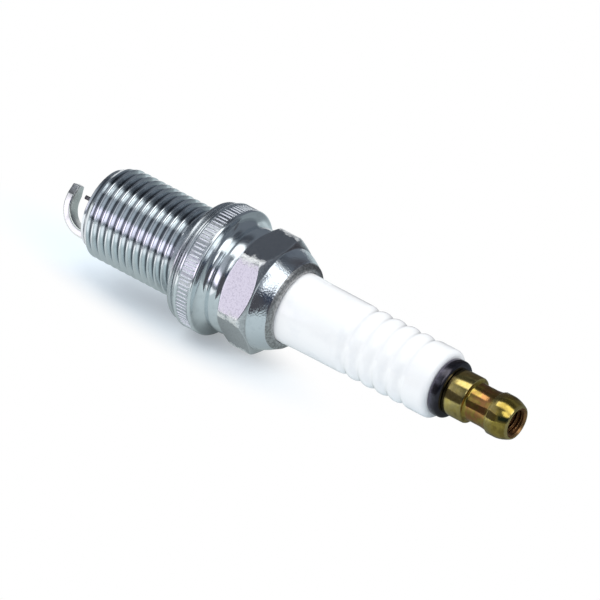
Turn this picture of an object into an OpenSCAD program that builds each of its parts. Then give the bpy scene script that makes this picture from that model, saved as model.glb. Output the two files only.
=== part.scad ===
// Spark plug, lying along X with its firing end towards -X and its terminal towards +X.
// The origin is on the plug's axis, in the plane where the gasket seals on the engine.
// Every turned piece is drawn as a half section of [radius, distance along X] points.

/* [Thread] */
// Major diameter of the shell's thread
thread_d = 13.9; // [13.4:0.05:14.6]
// Pitch of the shell's thread
thread_pitch = 1.25; // [1.1:0.05:1.5]
// Radial depth of the shell's thread
thread_depth = 0.7; // [0.4:0.05:0.8]
// Flat on each thread crest
crest_flat = 0.16; // [0.1:0.02:0.24]
// Seat face to the end of the shell
reach = 19.3; // [17:0.1:23]
// End of the shell to its first crest
thread_start = 1.25; // [0.9:0.05:1.8]
// Drop of the first, half-cut crest below the others
lead_drop = 0.25; // [0:0.05:0.4]
// Diameter of the plain end of the shell, ahead of the thread
pilot_d = 12.2; // [11.8:0.05:12.4]
// Bevel on the end of the shell
pilot_bevel = 0.25; // [0.1:0.05:0.4]
// Diameter of the relief that the gasket turns on
relief_d = 12.3; // [11.8:0.05:12.4]
// Room between the gasket and the last crest
relief_gap = 0.9; // [0.7:0.05:2]

/* [Gasket] */
// Thickness of the gasket
gasket_t = 1.55; // [1.4:0.05:2.6]
// Outer diameter of the gasket
gasket_d = 18.2; // [17.6:0.1:20]
// Depth of the crease between the gasket's two folds
crease_depth = 0.9; // [0.5:0.05:1.4]
// Width of the crease between the gasket's two folds
crease_w = 0.12; // [0.08:0.02:0.3]
// Depth of the hollow inside each fold, from the bore outwards
fold_hollow_depth = 1.5; // [0.8:0.1:2]
// Width of the hollow inside each fold
fold_hollow_w = 0.2; // [0.1:0.02:0.3]
// Radial clearance of the gasket on the relief
gasket_clear = 0.08; // [0.04:0.01:0.1]

/* [Flange and swage] */
// Diameter of the flange
flange_d = 19.2; // [18.2:0.1:21]
// Length of the flange's rim
flange_l = 3; // [2:0.1:5]
// Bevel on the flange's edges
flange_bevel = 0.25; // [0.1:0.05:0.5]
// Length of the hollow curve behind the flange
flange_back_l = 1.2; // [0.5:0.05:1.6]
// Diameter of the groove behind the flange
groove_d = 15.6; // [15:0.05:16]
// Length of the groove's floor
groove_l = 0.25; // [0.1:0.05:1]
// Diameter of the swaged bulge
swage_d = 16.2; // [16:0.05:17.2]
// Length of the swaged bulge
swage_l = 2.15; // [1.4:0.05:4]

/* [Hexagon and crimp] */
// Hexagon, across its flats
hex_af = 15.875; // [15.6:0.005:16.4]
// Hexagon, across its turned corners
hex_corner_d = 17.9; // [17.2:0.05:18]
// Length of the hexagon
hex_l = 5; // [4:0.1:9]
// Angle of the bevels on the hexagon's corners
hex_bevel_a = 30; // [15:1:45]
// Step from the hexagon's flats in to the crimp
crimp_inset = 0.1; // [0.05:0.05:0.3]
// Length of the crimped collar
crimp_l = 3.15; // [2.6:0.05:5]
// Width of the crimp's rounded lip
lip_w = 0.75; // [0.5:0.05:0.95]
// Gap between the crimp's lip and the insulator
lip_gap = 0.4; // [0.2:0.05:0.5]
// Length of the sloped inside of the crimp
lip_slope_l = 1.5; // [1:0.1:2]

/* [Shell bore] */
// Room for the packing between the insulator and the shell
packing_w = 0.8; // [0.6:0.05:1]
// Bore of the shell inside the thread
mid_bore_d = 9.4; // [8.8:0.05:9.8]
// Seat face to the step between those two bores
step_x = 1.6; // [1:0.1:2.6]
// Bore through the ledge that carries the insulator
ledge_d = 7.8; // [7.4:0.05:8.2]
// Seat face to the top of the ledge
ledge_x = 6; // [4:0.1:8]
// Length of the ledge's straight land
ledge_land = 1.2; // [0.5:0.1:3]
// Bore of the shell around the insulator's nose
nose_bore_d = 8.3; // [8.25:0.05:8.6]

/* [Insulator] */
// Diameter of the insulator where it leaves the crimp
barrel_d = 10.7; // [10.3:0.05:11]
// Diameter of the insulator at its ribs
rib_d = 10.4; // [9.8:0.05:10.7]
// Insulator between the crimp and its end
exposed_l = 25.9; // [22:0.1:34]
// Number of grooves around the insulator
groove_count = 5; // [1:1:6]
// Spacing of the grooves
groove_pitch = 2.45; // [2:0.05:3]
// Width of the grooves
groove_w = 2.2; // [1.4:0.05:2.4]
// Depth of the grooves
groove_depth = 0.35; // [0.1:0.05:0.6]
// End of the insulator to the last groove
groove_end = 4.6; // [3:0.1:6]
// Radius of the insulator's rounded end
end_round = 0.9; // [0.4:0.05:1.1]
// Diameter of the insulator at the tip of its nose
nose_tip_d = 4.6; // [4:0.1:5.4]
// Insulator's nose beyond the end of the shell
nose_out = 1.9; // [0.5:0.1:4]
// Radial clearance between insulator and shell
insulator_clear = 0.08; // [0.04:0.01:0.12]
// Bore of the insulator for the stud and the seals
stud_bore_d = 3.9; // [3.6:0.05:4.2]
// Bore of the insulator for the centre electrode
electrode_bore_d = 2.6; // [2.2:0.05:2.8]
// Length of the packed talc
talc_l = 2.8; // [1.6:0.1:3.4]
// Thickness of the washer under the insulator
washer_t = 0.4; // [0.2:0.05:0.8]
// Clearance at pieces that are packed, pressed or fused together
seat_gap = 0.02; // [0.01:0.005:0.03]

/* [Centre conductor] */
// Seat face to the underside of the centre electrode's head
head_x = 4.5; // [3:0.1:6]
// Length of the centre electrode's head
head_l = 1.4; // [0.8:0.1:2.5]
// Centre electrode beyond the insulator's nose, up to its taper
electrode_out = 0.3; // [0.1:0.05:1.5]
// Length of the centre electrode's taper
taper_l = 0.5; // [0.3:0.05:1.2]
// Diameter at the end of the taper
taper_d = 0.9; // [0.7:0.05:1.4]
// Diameter of the copper core
core_d = 1.5; // [1:0.05:1.8]
// Nickel left between the core and the insulator's tip
core_end = 1.2; // [0.6:0.1:3]
// Diameter of the firing tip
tip_d = 0.6; // [0.4:0.05:0.68]
// Length of the firing tip in front of its weld
tip_l = 0.85; // [0.4:0.05:1.5]
// Length of the weld behind the firing tip
tip_weld_l = 0.25; // [0.15:0.05:0.5]
// Length of the lower glass seal
lower_glass_l = 3; // [2:0.1:5]
// Length of the resistor
resistor_l = 7.5; // [5:0.1:10]
// Length of the upper glass seal
upper_glass_l = 3.5; // [2:0.1:5]

/* [Ground electrode] */
// Spark gap
spark_gap = 1.2; // [0.5:0.05:1.5]
// Thickness of the ground electrode
strap_t = 1.2; // [1:0.05:1.5]
// Width of the ground electrode
strap_w = 2.5; // [2:0.1:3]
// Bevel along the ground electrode's edges
strap_bevel = 0.2; // [0.1:0.05:0.4]
// Inner radius of the ground electrode's bend
strap_bend_r = 3.2; // [1:0.1:3.8]
// Shell bore to the inner face of the ground electrode
strap_inset = 0.06; // [0.02:0.02:0.2]
// Ground electrode beyond the plug's axis
strap_past = 1.1; // [0.2:0.05:1.4]
// Turn of the ground electrode about the plug's axis, from -Y towards -Z
strap_turn = 58; // [0:1:359]
// Width trimmed off each side of the ground electrode's end
strap_trim_w = 0.5; // [0.1:0.05:0.7]
// Length of the ground electrode's trimmed end
strap_trim_l = 1.5; // [0.8:0.1:2]
// Width of the weld around the foot of the ground electrode
foot_weld_w = 0.3; // [0.15:0.05:0.5]
// Height of the weld around the foot of the ground electrode
foot_weld_h = 0.3; // [0.15:0.05:0.6]

/* [Terminal] */
// Diameter of the stud's dark collar
collar_d = 8.6; // [7:0.1:9.4]
// Length of the stud's dark collar
collar_l = 1.7; // [1:0.1:3]
// Rounding of the collar's edges
collar_round = 0.6; // [0.2:0.05:0.8]
// Radial clearance of the stud in the insulator's bore
stud_clear = 0.1; // [0.05:0.01:0.2]
// Diameter over the stud's terminal thread
stud_thread_d = 3.54; // [3.3:0.02:3.7]
// Depth of the stud's terminal thread
stud_thread_depth = 0.22; // [0.1:0.02:0.3]
// Pitch of the stud's terminal thread
stud_pitch = 0.7; // [0.6:0.05:0.8]
// Flat on each crest of the stud's terminal thread
stud_flat = 0.14; // [0.08:0.02:0.3]
// Length of the stud beyond its collar
stud_out = 8; // [6:0.1:9]
// Radial clearance between stud and nut
nut_clear = 0.05; // [0.03:0.01:0.09]
// Gap between the collar and the nut at rest
nut_gap = 0.05; // [0.02:0.01:0.2]
// Diameter of the nut's base
nut_base_d = 6.9; // [6.6:0.1:7.6]
// Length of the nut's base
nut_base_l = 3.3; // [2:0.1:5]
// Diameter of the nut's waist
nut_waist_d = 5.6; // [5:0.1:5.9]
// Length of the nut's waist
nut_waist_l = 3.85; // [2.6:0.05:5]
// Length of the flare between the nut's waist and its head
nut_flare_l = 1.6; // [0.4:0.1:1.8]
// Diameter at the top of that flare
nut_flare_d = 6; // [5.9:0.05:6.15]
// Diameter of the nut's head
nut_head_d = 6.35; // [6.2:0.01:6.6]
// Length of the nut's head
nut_head_l = 1.6; // [1:0.1:4]
// Length of the taper on the end of the nut
nut_taper_l = 1.9; // [1:0.05:2.5]
// Diameter of the end of the nut
nut_end_d = 5.2; // [4.8:0.1:5.6]
// Bevels on the nut's base and at the mouth of its hole
nut_bevel = 0.2; // [0.1:0.05:0.3]

/* [Hidden] */
$fn = 96;

// Stations along X, from the seal plane outwards in both directions
x_seat = gasket_t;
x_end = x_seat - reach;
x_groove = x_seat + flange_l + flange_back_l;
x_swage = x_groove + groove_l;
x_hex = x_swage + swage_l;
x_crimp = x_hex + hex_l;
x_lip = x_crimp + crimp_l;
x_ceramic = x_lip + exposed_l;
x_collar = x_ceramic + seat_gap;
x_thread = x_collar + collar_l;
x_nut = x_thread + nut_gap;
x_nut_waist = x_nut + nut_base_l;
x_nut_head = x_nut_waist + nut_waist_l;
x_nut_taper = x_nut_head + nut_head_l;
x_nut_end = x_nut_taper + nut_taper_l;

// How far a cut runs past the face that it opens
cut_past = 1;

// Radii of the shell and of what runs in it
thread_r = thread_d / 2;
root_r = thread_r - thread_depth;
relief_r = relief_d / 2;
mid_r = mid_bore_d / 2;
ledge_r = ledge_d / 2;
nose_bore_r = nose_bore_d / 2;
barrel_r = barrel_d / 2;
big_r = barrel_r + packing_w;
lip_r = barrel_r + lip_gap;
lip_a = 25;
crimp_r = hex_af / 2 - crimp_inset;
groove_r = groove_d / 2;
back_h = flange_d / 2 - flange_bevel - groove_r;
back_steps = 6;
swage_steps = 8;
hex_core_r = groove_r - crimp_inset;

// Thread crests, as rings one pitch apart
flank = crest_flat / 2 + thread_depth * tan(30);
crest_room = reach - thread_start - gasket_t - relief_gap;
crest_count = floor(crest_room / thread_pitch) + 1;
x_crest = x_end + thread_start;

// Steps inside the shell, all at 45 degrees
x_ledge = x_seat - ledge_x;
x_ledge_low = x_ledge - (mid_r - ledge_r);
x_ledge_end = x_ledge_low - ledge_land;
x_step = x_seat + step_x;
x_step_top = x_step + big_r - mid_r;
x_slope = x_lip - lip_slope_l;

// Insulator, its packing and its seat
shoulder_r = big_r - insulator_clear;
body_r = mid_r - insulator_clear;
nose_r = ledge_r - 2 * insulator_clear;
nose_tip_r = nose_tip_d / 2;
seat_rise = washer_t + 2 * seat_gap;
wire_r = packing_w / 2 - seat_gap;
wire_ring_r = barrel_r + packing_w / 2;
x_upper_ring = x_slope - seat_gap - wire_r;
x_talc_top = x_upper_ring - wire_r - seat_gap;
x_talc = x_talc_top - talc_l;
x_lower_ring = x_talc - seat_gap - wire_r;
x_shoulder = x_lower_ring - wire_r - seat_gap;
stud_bore_r = stud_bore_d / 2;
electrode_bore_r = electrode_bore_d / 2;
x_nose = x_end - nose_out;
x_last_groove = x_ceramic - groove_end;
x_first_groove = x_last_groove - (groove_count - 1) * groove_pitch;
rib_r = rib_d / 2;
groove_steps = 8;
dip_w = min(groove_w, groove_pitch);

// Centre conductor
electrode_r = electrode_bore_r - seat_gap;
sealed_r = stud_bore_r - seat_gap;
x_head = x_seat - head_x;
x_head_top = x_head + head_l;
x_taper = x_nose - electrode_out;
x_taper_end = x_taper - taper_l;
x_weld_end = x_taper_end - seat_gap - tip_weld_l;
x_tip = x_weld_end - seat_gap - tip_l;
x_core_end = x_nose + core_end;
tip_r = tip_d / 2;
x_lower_glass = x_head_top + seat_gap;
x_resistor = x_lower_glass + lower_glass_l + seat_gap;
x_upper_glass = x_resistor + resistor_l + seat_gap;
x_stud = x_upper_glass + upper_glass_l + seat_gap;
stud_r = stud_bore_r - stud_clear;

// Ground electrode
strap_face = nose_bore_r + strap_inset;
x_arm = x_tip - spark_gap;
x_bend = x_arm + strap_bend_r;
y_bend = strap_bend_r - strap_face;
pilot_r = pilot_d / 2;

// Terminal
collar_r = collar_d / 2;
collar_edge = min(collar_round, collar_l / 2);
stud_thread_r = stud_thread_d / 2;
x_stud_end = x_thread + stud_out;
nut_bore_r = stud_thread_r + nut_clear;
nut_base_r = nut_base_d / 2;
nut_waist_r = nut_waist_d / 2;
nut_head_r = nut_head_d / 2;
nut_end_r = nut_end_d / 2;

// Points of an arc about [r, x], from angle a to angle b
function arc(r, x, radius, a, b, steps = 6) =
    [for (i = [0:steps]) let (t = a + (b - a) * i / steps) [r + radius * cos(t), x + radius * sin(t)]];

// A solid of revolution about the plug's axis
module turned(points) {
    rotate([0, 90, 0])
        rotate_extrude()
            polygon(points);
}

// A plain ring or plug between two stations
module sleeve(outer_r, inner_r, x_from, x_to) {
    turned([[inner_r, x_from], [outer_r, x_from], [outer_r, x_to], [inner_r, x_to]]);
}

// A wire ring
module wire_ring(x) {
    rotate([0, 90, 0])
        rotate_extrude()
            translate([wire_ring_r, x])
                circle(r = wire_r, $fn = 48);
}

// One thread crest in half section, cut down by drop
function crest(x, drop) =
    let (flat = crest_flat / 2 + drop * tan(30))
        [
            [root_r, x - flank],
            [thread_r - drop, x - flat],
            [thread_r - drop, x + flat],
            [root_r, x + flank]
        ];

// Half section of the shell's outside, without the hexagon
function shell_outside() = concat(
    [
        [pilot_r - pilot_bevel, x_end],
        [pilot_r, x_end + pilot_bevel],
        [pilot_r, x_crest - flank - crest_flat]
    ],
    [for (i = [0:crest_count - 1]) each crest(x_crest + i * thread_pitch, i == 0 ? lead_drop : 0)],
    [
        [relief_r, x_crest + (crest_count - 1) * thread_pitch + flank + crest_flat],
        [relief_r, x_seat],
        [flange_d / 2 - flange_bevel, x_seat],
        [flange_d / 2, x_seat + flange_bevel],
        [flange_d / 2, x_seat + flange_l - flange_bevel],
        [flange_d / 2 - flange_bevel, x_seat + flange_l]
    ],
    [
        for (i = [1:back_steps])
            let (t = 90 * i / back_steps)
                [groove_r + back_h * (1 - sin(t)), x_groove - flange_back_l * cos(t)]
    ],
    [[groove_r, x_swage]],
    [
        for (i = [1:swage_steps - 1])
            [groove_r + (swage_d / 2 - groove_r) * sin(180 * i / swage_steps), x_swage + swage_l * i / swage_steps]
    ],
    [
        [hex_core_r, x_hex],
        [hex_core_r, x_crimp],
        [crimp_r, x_crimp]
    ],
    arc(lip_r, x_lip - lip_w, lip_w, lip_a, 90)
);

// Half section of the shell's bore, open at both ends
function shell_bore() = [
    [0, x_end - cut_past],
    [nose_bore_r, x_end - cut_past],
    [nose_bore_r, x_ledge_end - (nose_bore_r - ledge_r)],
    [ledge_r, x_ledge_end],
    [ledge_r, x_ledge_low],
    [mid_r, x_ledge],
    [mid_r, x_step],
    [big_r, x_step_top],
    [big_r, x_slope],
    [lip_r, x_lip],
    [lip_r, x_lip + cut_past],
    [0, x_lip + cut_past]
];

// The hexagon, with its corners turned and bevelled, one flat facing down
module hexagon() {
    corner_r = hex_corner_d / 2;
    bevel_l = (corner_r - crimp_r) * tan(hex_bevel_a);
    intersection() {
        translate([x_hex, 0, 0])
            rotate([0, 90, 0])
                rotate([0, 0, 30])
                    cylinder(d = hex_af / cos(30), h = hex_l, $fn = 6);
        turned([
            [0, x_hex],
            [crimp_r, x_hex],
            [corner_r, x_hex + bevel_l],
            [corner_r, x_crimp - bevel_l],
            [crimp_r, x_crimp],
            [0, x_crimp]
        ]);
    }
}

module shell() {
    color([0.72, 0.74, 0.75])
        difference() {
            union() {
                turned(concat([[0, x_end]], shell_outside(), [[0, x_lip]]));
                hexagon();
            }
            turned(shell_bore());
        }
}

// Half section of one fold of the gasket: a flat band with a round outer edge
module gasket_fold(x_from, x_to, inner_r) {
    half = (x_to - x_from) / 2;
    edge_r = gasket_d / 2 - half;
    translate([inner_r, x_from])
        square([edge_r - inner_r, x_to - x_from]);
    translate([edge_r, x_from + half])
        circle(r = half, $fn = 48);
}

module crush_gasket() {
    inner_r = relief_r + gasket_clear;
    web_r = gasket_d / 2 - crease_depth;
    fold_t = (gasket_t - crease_w) / 2;
    color([0.7, 0.72, 0.72])
        rotate([0, 90, 0])
            rotate_extrude()
                difference() {
                    union() {
                        gasket_fold(0, fold_t, inner_r);
                        gasket_fold(gasket_t - fold_t, gasket_t, inner_r);
                        translate([inner_r, fold_t])
                            square([web_r - inner_r, crease_w]);
                    }
                    for (x = [fold_t / 2, gasket_t - fold_t / 2])
                        translate([inner_r - cut_past, x - fold_hollow_w / 2])
                            square([fold_hollow_depth + cut_past, fold_hollow_w]);
                }
}

// One groove of the insulator, a smooth dip below its rib radius
function dip(x) = [
    for (i = [0:groove_steps])
        let (t = i / groove_steps)
            [rib_r - groove_depth * (1 - cos(360 * t)) / 2, x + dip_w * (t - 0.5)]
];

function insulator_section() = concat(
    [
        [electrode_bore_r, x_nose],
        [nose_tip_r, x_nose],
        [nose_r, x_ledge_end],
        [nose_r, x_ledge_low + (nose_r - ledge_r) + seat_rise],
        [body_r, x_ledge_low + (body_r - ledge_r) + seat_rise],
        [body_r, x_step + insulator_clear],
        [shoulder_r, x_step + (shoulder_r - body_r) + insulator_clear],
        [shoulder_r, x_shoulder],
        [barrel_r, x_shoulder],
        [barrel_r, x_lip + lip_gap]
    ],
    [for (i = [0:groove_count - 1]) each dip(x_first_groove + i * groove_pitch)],
    arc(rib_r - end_round, x_ceramic - end_round, end_round, 0, 90),
    [
        [stud_bore_r, x_ceramic],
        [stud_bore_r, x_head + stud_bore_r - electrode_bore_r],
        [electrode_bore_r, x_head]
    ]
);

module insulator() {
    color([0.96, 0.96, 0.95])
        turned(insulator_section());
}

module seat_washer() {
    inner_r = nose_r + 2 * insulator_clear + seat_gap;
    outer_r = body_r - seat_gap;
    lift = x_ledge_low - ledge_r + seat_gap;
    color([0.72, 0.47, 0.32])
        turned([
            [inner_r, inner_r + lift],
            [outer_r, outer_r + lift],
            [outer_r, outer_r + lift + washer_t],
            [inner_r, inner_r + lift + washer_t]
        ]);
}

module lower_packing_ring() {
    color([0.55, 0.56, 0.57])
        wire_ring(x_lower_ring);
}

module upper_packing_ring() {
    color([0.55, 0.56, 0.57])
        wire_ring(x_upper_ring);
}

module talc_seal() {
    color([0.86, 0.86, 0.82])
        sleeve(big_r - seat_gap, barrel_r + seat_gap, x_talc, x_talc_top);
}

// The nickel centre electrode: a headed rod, hollow for its copper core, with a tapered end
module centre_electrode() {
    core_r = core_d / 2 + seat_gap;
    rise = seat_gap + sealed_r - electrode_r;
    color([0.6, 0.6, 0.58])
        turned([
            [0, x_taper_end],
            [taper_d / 2, x_taper_end],
            [electrode_r, x_taper],
            [electrode_r, x_head + seat_gap],
            [sealed_r, x_head + rise],
            [sealed_r, x_head_top],
            [core_r, x_head_top],
            [core_r, x_core_end - seat_gap],
            [0, x_core_end - seat_gap]
        ]);
}

module copper_core() {
    color([0.78, 0.42, 0.26])
        sleeve(core_d / 2, 0, x_core_end, x_head_top);
}

// The weld that joins the firing tip to the taper
module tip_weld() {
    color([0.5, 0.5, 0.5])
        turned([
            [0, x_weld_end],
            [tip_r, x_weld_end],
            [taper_d / 2, x_taper_end - seat_gap],
            [0, x_taper_end - seat_gap]
        ]);
}

module firing_tip() {
    color([0.25, 0.25, 0.27])
        sleeve(tip_r, 0, x_tip, x_weld_end - seat_gap);
}

module lower_glass_seal() {
    color([0.2, 0.17, 0.15])
        sleeve(sealed_r, 0, x_lower_glass, x_lower_glass + lower_glass_l);
}

module resistor_element() {
    color([0.12, 0.12, 0.13])
        sleeve(sealed_r, 0, x_resistor, x_resistor + resistor_l);
}

module upper_glass_seal() {
    color([0.2, 0.17, 0.15])
        sleeve(sealed_r, 0, x_upper_glass, x_upper_glass + upper_glass_l);
}

// The steel stud: a plain shank in the insulator, a dark collar on its end and a threaded post
module terminal_stud() {
    root = stud_thread_r - stud_thread_depth;
    turns = floor((stud_out - stud_pitch) / stud_pitch);
    color([0.16, 0.15, 0.18])
        turned(concat(
            [[0, x_stud], [stud_r, x_stud], [stud_r, x_collar]],
            arc(collar_r - collar_edge, x_collar + collar_edge, collar_edge, -90, 0, 4),
            arc(collar_r - collar_edge, x_thread - collar_edge, collar_edge, 0, 90, 4),
            [[root, x_thread]],
            [
                for (i = [0:turns - 1])
                    let (x = x_thread + stud_pitch * (i + 0.5))
                        each [
                            [root, x],
                            [stud_thread_r, x + (stud_pitch - stud_flat) / 2],
                            [stud_thread_r, x + (stud_pitch + stud_flat) / 2]
                        ]
            ],
            [[root, x_stud_end - stud_pitch / 2], [root, x_stud_end], [0, x_stud_end]]
        ));
}

// The removable terminal nut: base, waist, push-on head and a hole right through
module terminal_nut() {
    waist_drop = nut_base_r - nut_waist_r;
    color([0.72, 0.56, 0.2])
        turned([
            [nut_bore_r, x_nut],
            [nut_base_r - nut_bevel, x_nut],
            [nut_base_r, x_nut + nut_bevel],
            [nut_base_r, x_nut_waist - nut_bevel],
            [nut_base_r - nut_bevel, x_nut_waist],
            [nut_waist_r, x_nut_waist + waist_drop / 2],
            [nut_waist_r, x_nut_head - nut_flare_l],
            [nut_flare_d / 2, x_nut_head],
            [nut_head_r, x_nut_head],
            [nut_head_r, x_nut_taper],
            [nut_end_r, x_nut_end],
            [nut_bore_r + nut_bevel, x_nut_end],
            [nut_bore_r, x_nut_end - nut_bevel]
        ]);
}

// Cross section of the ground electrode, its inner face on the Y axis
module strap_section() {
    half = strap_w / 2;
    polygon([
        [0, -half + strap_bevel],
        [strap_bevel, -half],
        [strap_t - strap_bevel, -half],
        [strap_t, -half + strap_bevel],
        [strap_t, half - strap_bevel],
        [strap_t - strap_bevel, half],
        [strap_bevel, half],
        [0, half - strap_bevel]
    ]);
}

// Wedge that trims the end of the ground electrode's arm to a narrower tip
module strap_trim() {
    slope = strap_trim_w / strap_trim_l;
    end_half = strap_w / 2 - strap_trim_w;
    y_from = y_bend - cut_past;
    y_to = strap_past + cut_past;
    half_from = end_half + (strap_past - y_from) * slope;
    half_to = end_half + (strap_past - y_to) * slope;
    translate([x_arm - strap_t - cut_past, 0, 0])
        rotate([90, 0, 90])
            linear_extrude(strap_t + 2 * cut_past)
                polygon([[y_from, -half_from], [y_to, -half_to], [y_to, half_to], [y_from, half_from]]);
}

// The ground electrode: a leg on the shell's end, a quarter bend and an arm across the tip
module ground_electrode() {
    color([0.66, 0.66, 0.62])
        rotate([strap_turn, 0, 0]) {
            translate([x_bend, -strap_face, 0])
                rotate([0, 90, 0])
                    rotate([0, 0, -90])
                        linear_extrude(x_end - x_bend)
                            strap_section();
            translate([x_bend, y_bend, 0])
                rotate([0, 0, 180])
                    rotate_extrude(angle = 90)
                        translate([strap_bend_r, 0])
                            strap_section();
            intersection() {
                translate([x_arm, y_bend, 0])
                    rotate([-90, 0, 0])
                        rotate([0, 0, 180])
                            linear_extrude(strap_past - y_bend)
                                strap_section();
                strap_trim();
            }
        }
}

// The weld around the foot of the ground electrode
module ground_weld() {
    wide = strap_w + 2 * foot_weld_w;
    deep = strap_t + 2 * foot_weld_w;
    color([0.45, 0.45, 0.46])
        rotate([strap_turn, 0, 0])
            intersection() {
                difference() {
                    translate([x_end - foot_weld_h, -strap_face - strap_t - foot_weld_w, -wide / 2])
                        cube([foot_weld_h, deep, wide]);
                    translate([x_end - cut_past, -strap_face - strap_t - seat_gap, -strap_w / 2 - seat_gap])
                        cube([2 * cut_past, strap_t + 2 * seat_gap, strap_w + 2 * seat_gap]);
                }
                sleeve(pilot_r - pilot_bevel, nose_bore_r, x_end - cut_past, x_end + cut_past);
            }
}

shell();
crush_gasket();
insulator();
seat_washer();
lower_packing_ring();
talc_seal();
upper_packing_ring();
centre_electrode();
copper_core();
tip_weld();
firing_tip();
lower_glass_seal();
resistor_element();
upper_glass_seal();
terminal_stud();
terminal_nut();
ground_electrode();
ground_weld();
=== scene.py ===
"""The spark plug's looks: detailed meshes, finishes, studio and camera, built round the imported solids."""

import logging
import math
from collections.abc import Iterable, Sequence
from dataclasses import dataclass, field
from enum import Enum, IntEnum
from typing import NamedTuple

import bmesh
import bpy
import numpy as np
from mathutils import Matrix, Vector


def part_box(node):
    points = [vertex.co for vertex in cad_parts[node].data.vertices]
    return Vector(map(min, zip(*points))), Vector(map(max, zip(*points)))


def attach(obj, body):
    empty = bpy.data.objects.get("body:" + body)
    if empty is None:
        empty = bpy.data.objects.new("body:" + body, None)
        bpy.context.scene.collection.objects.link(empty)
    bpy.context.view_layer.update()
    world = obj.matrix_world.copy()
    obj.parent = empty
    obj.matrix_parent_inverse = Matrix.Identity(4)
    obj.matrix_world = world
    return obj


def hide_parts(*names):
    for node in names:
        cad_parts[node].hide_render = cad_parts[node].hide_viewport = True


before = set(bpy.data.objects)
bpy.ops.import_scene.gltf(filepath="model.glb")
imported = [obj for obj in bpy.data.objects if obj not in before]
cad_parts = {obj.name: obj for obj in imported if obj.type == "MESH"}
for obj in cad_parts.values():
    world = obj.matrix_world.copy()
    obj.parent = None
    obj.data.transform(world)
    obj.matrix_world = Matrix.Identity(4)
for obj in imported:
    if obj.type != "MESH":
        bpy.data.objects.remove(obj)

log = logging.getLogger("spark_plug")

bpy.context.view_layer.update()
MM = 0.001
WELD_GAP = 2e-7
FULL_TURN = 2.0 * math.pi
QUARTER = 90.0

# A convex edge wears from this bend on, and fully when it bends this much more, in degrees.
WEAR_STARTS = 9.0
WEAR_SPAN = 26.0
# Wear spreads to neighbouring points in two passes, and each passes on this much of it.
WEAR_SPREAD = (0.7, 0.45)

# A ripple's waves: the span of their sizes, the steps between their counts, and what evens out their sum.
WAVE_SIZES = (0.4, 1.0)
WAVE_STEPS = (1, 4)
WAVE_MEAN = 0.55

# Where a colour mix node has its two colours among its inputs, and the mixed one among its outputs.
MIX_FIRST = 6
MIX_SECOND = 7
MIX_RESULT = 2

Rgb = tuple[float, float, float]
Triple = tuple[float, float, float]
Point = tuple[float, float]
Piece = bpy.types.Object
Node = bpy.types.Node
Socket = bpy.types.NodeSocket
Group = bpy.types.NodeTree


class Body(Enum):
    """The bodies of the part that pieces ride on."""

    PLUG = "plug_body"
    GASKET = "gasket"
    NUT = "nut"


class Slot(Enum):
    """The record's material slots."""

    PLATED = "plated_steel"
    GASKET = "gasket_steel"
    GLAZED = "glazed_alumina"
    PACKING = "packing_steel"
    COPPER = "copper"
    TALC = "talc"
    NICKEL = "nickel_alloy"
    BEAD = "weld_bead"
    TIP = "tip_metal"
    GLASS = "seal_glass"
    RESISTOR = "resistor_mix"
    BLACK = "black_steel"
    BRASS = "terminal_brass"


class ShellZone(IntEnum):
    """The shell's zones, in the order of its finishes."""

    PLAIN = 0
    THREAD = 1
    HEXAGON = 2
    LIP = 3
    BORE = 4
    SHADED_RECESS = 5
    CRIMP = 6


class NutZone(IntEnum):
    """The terminal nut's zones, in the order of its finishes."""

    OUTSIDE = 0
    HOLE = 1


class StrapZone(IntEnum):
    """The ground electrode's zones, in the order of its finishes."""

    DRAWN = 0
    # The inside and cut zones take darker copies of the strap's nickel, which are painted shade.
    INSIDE = 1
    CUT = 2


def span(node: str) -> tuple[float, float]:
    """Returns where a CAD node starts and ends along the plug's axis, in mm."""
    low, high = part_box(node)
    return low[0] / MM, high[0] / MM


def girth(node: str) -> float:
    """Returns the largest radius of a round CAD node, in mm."""
    low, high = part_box(node)
    return (high[2] - low[2]) / 2.0 / MM


def even_turn(count: int) -> np.ndarray:
    """Returns the angles of count equal steps round the axis, with the first one again at the end."""
    return np.linspace(0.0, FULL_TURN, count + 1)


def shifted(x: float, radius: float, *offsets: Point) -> list[Point]:
    """Returns points of an outline, given as offsets from a place along the axis and a radius."""
    return [(x + on, radius + out) for on, out in offsets]


def arc(middle: Point, reach: Point, start: float, end: float, steps: int) -> list[Point]:
    """Works out the points of a round stretch of an outline.

    Args:
        middle: the arc's middle, as a place along the axis and a radius in mm.
        reach: how far it reaches from there, along the axis and out from it.
        start: the first point's angle in degrees, 0 for straight out and 90 for on along the axis.
        end: the last point's angle.
        steps: how many chords it has.

    Returns:
        The points, as places along the axis and radii.
    """
    angles = np.radians(np.linspace(start, end, steps + 1))
    return [(middle[0] + reach[0] * math.sin(a), middle[1] + reach[1] * math.cos(a)) for a in angles]


def wobble(angles: np.ndarray, seed: int, lowest: int = 3, waves: int = 6) -> np.ndarray:
    """Makes a smooth, uneven ripple that closes on itself round the axis.

    Args:
        angles: where the ripple is wanted, in radians.
        seed: which ripple, always the same for the same number.
        lowest: how many waves the slowest part has in one turn.
        waves: how many parts are summed.

    Returns:
        The ripple at each angle, about -1 to 1.
    """
    dice = np.random.default_rng(seed)
    total = np.zeros_like(angles)
    for step in range(waves):
        turns = lowest + step * dice.integers(*WAVE_STEPS)
        total += dice.uniform(*WAVE_SIZES) * np.sin(turns * angles + dice.uniform(0.0, FULL_TURN))
    return total / (WAVE_MEAN * waves)


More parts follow.
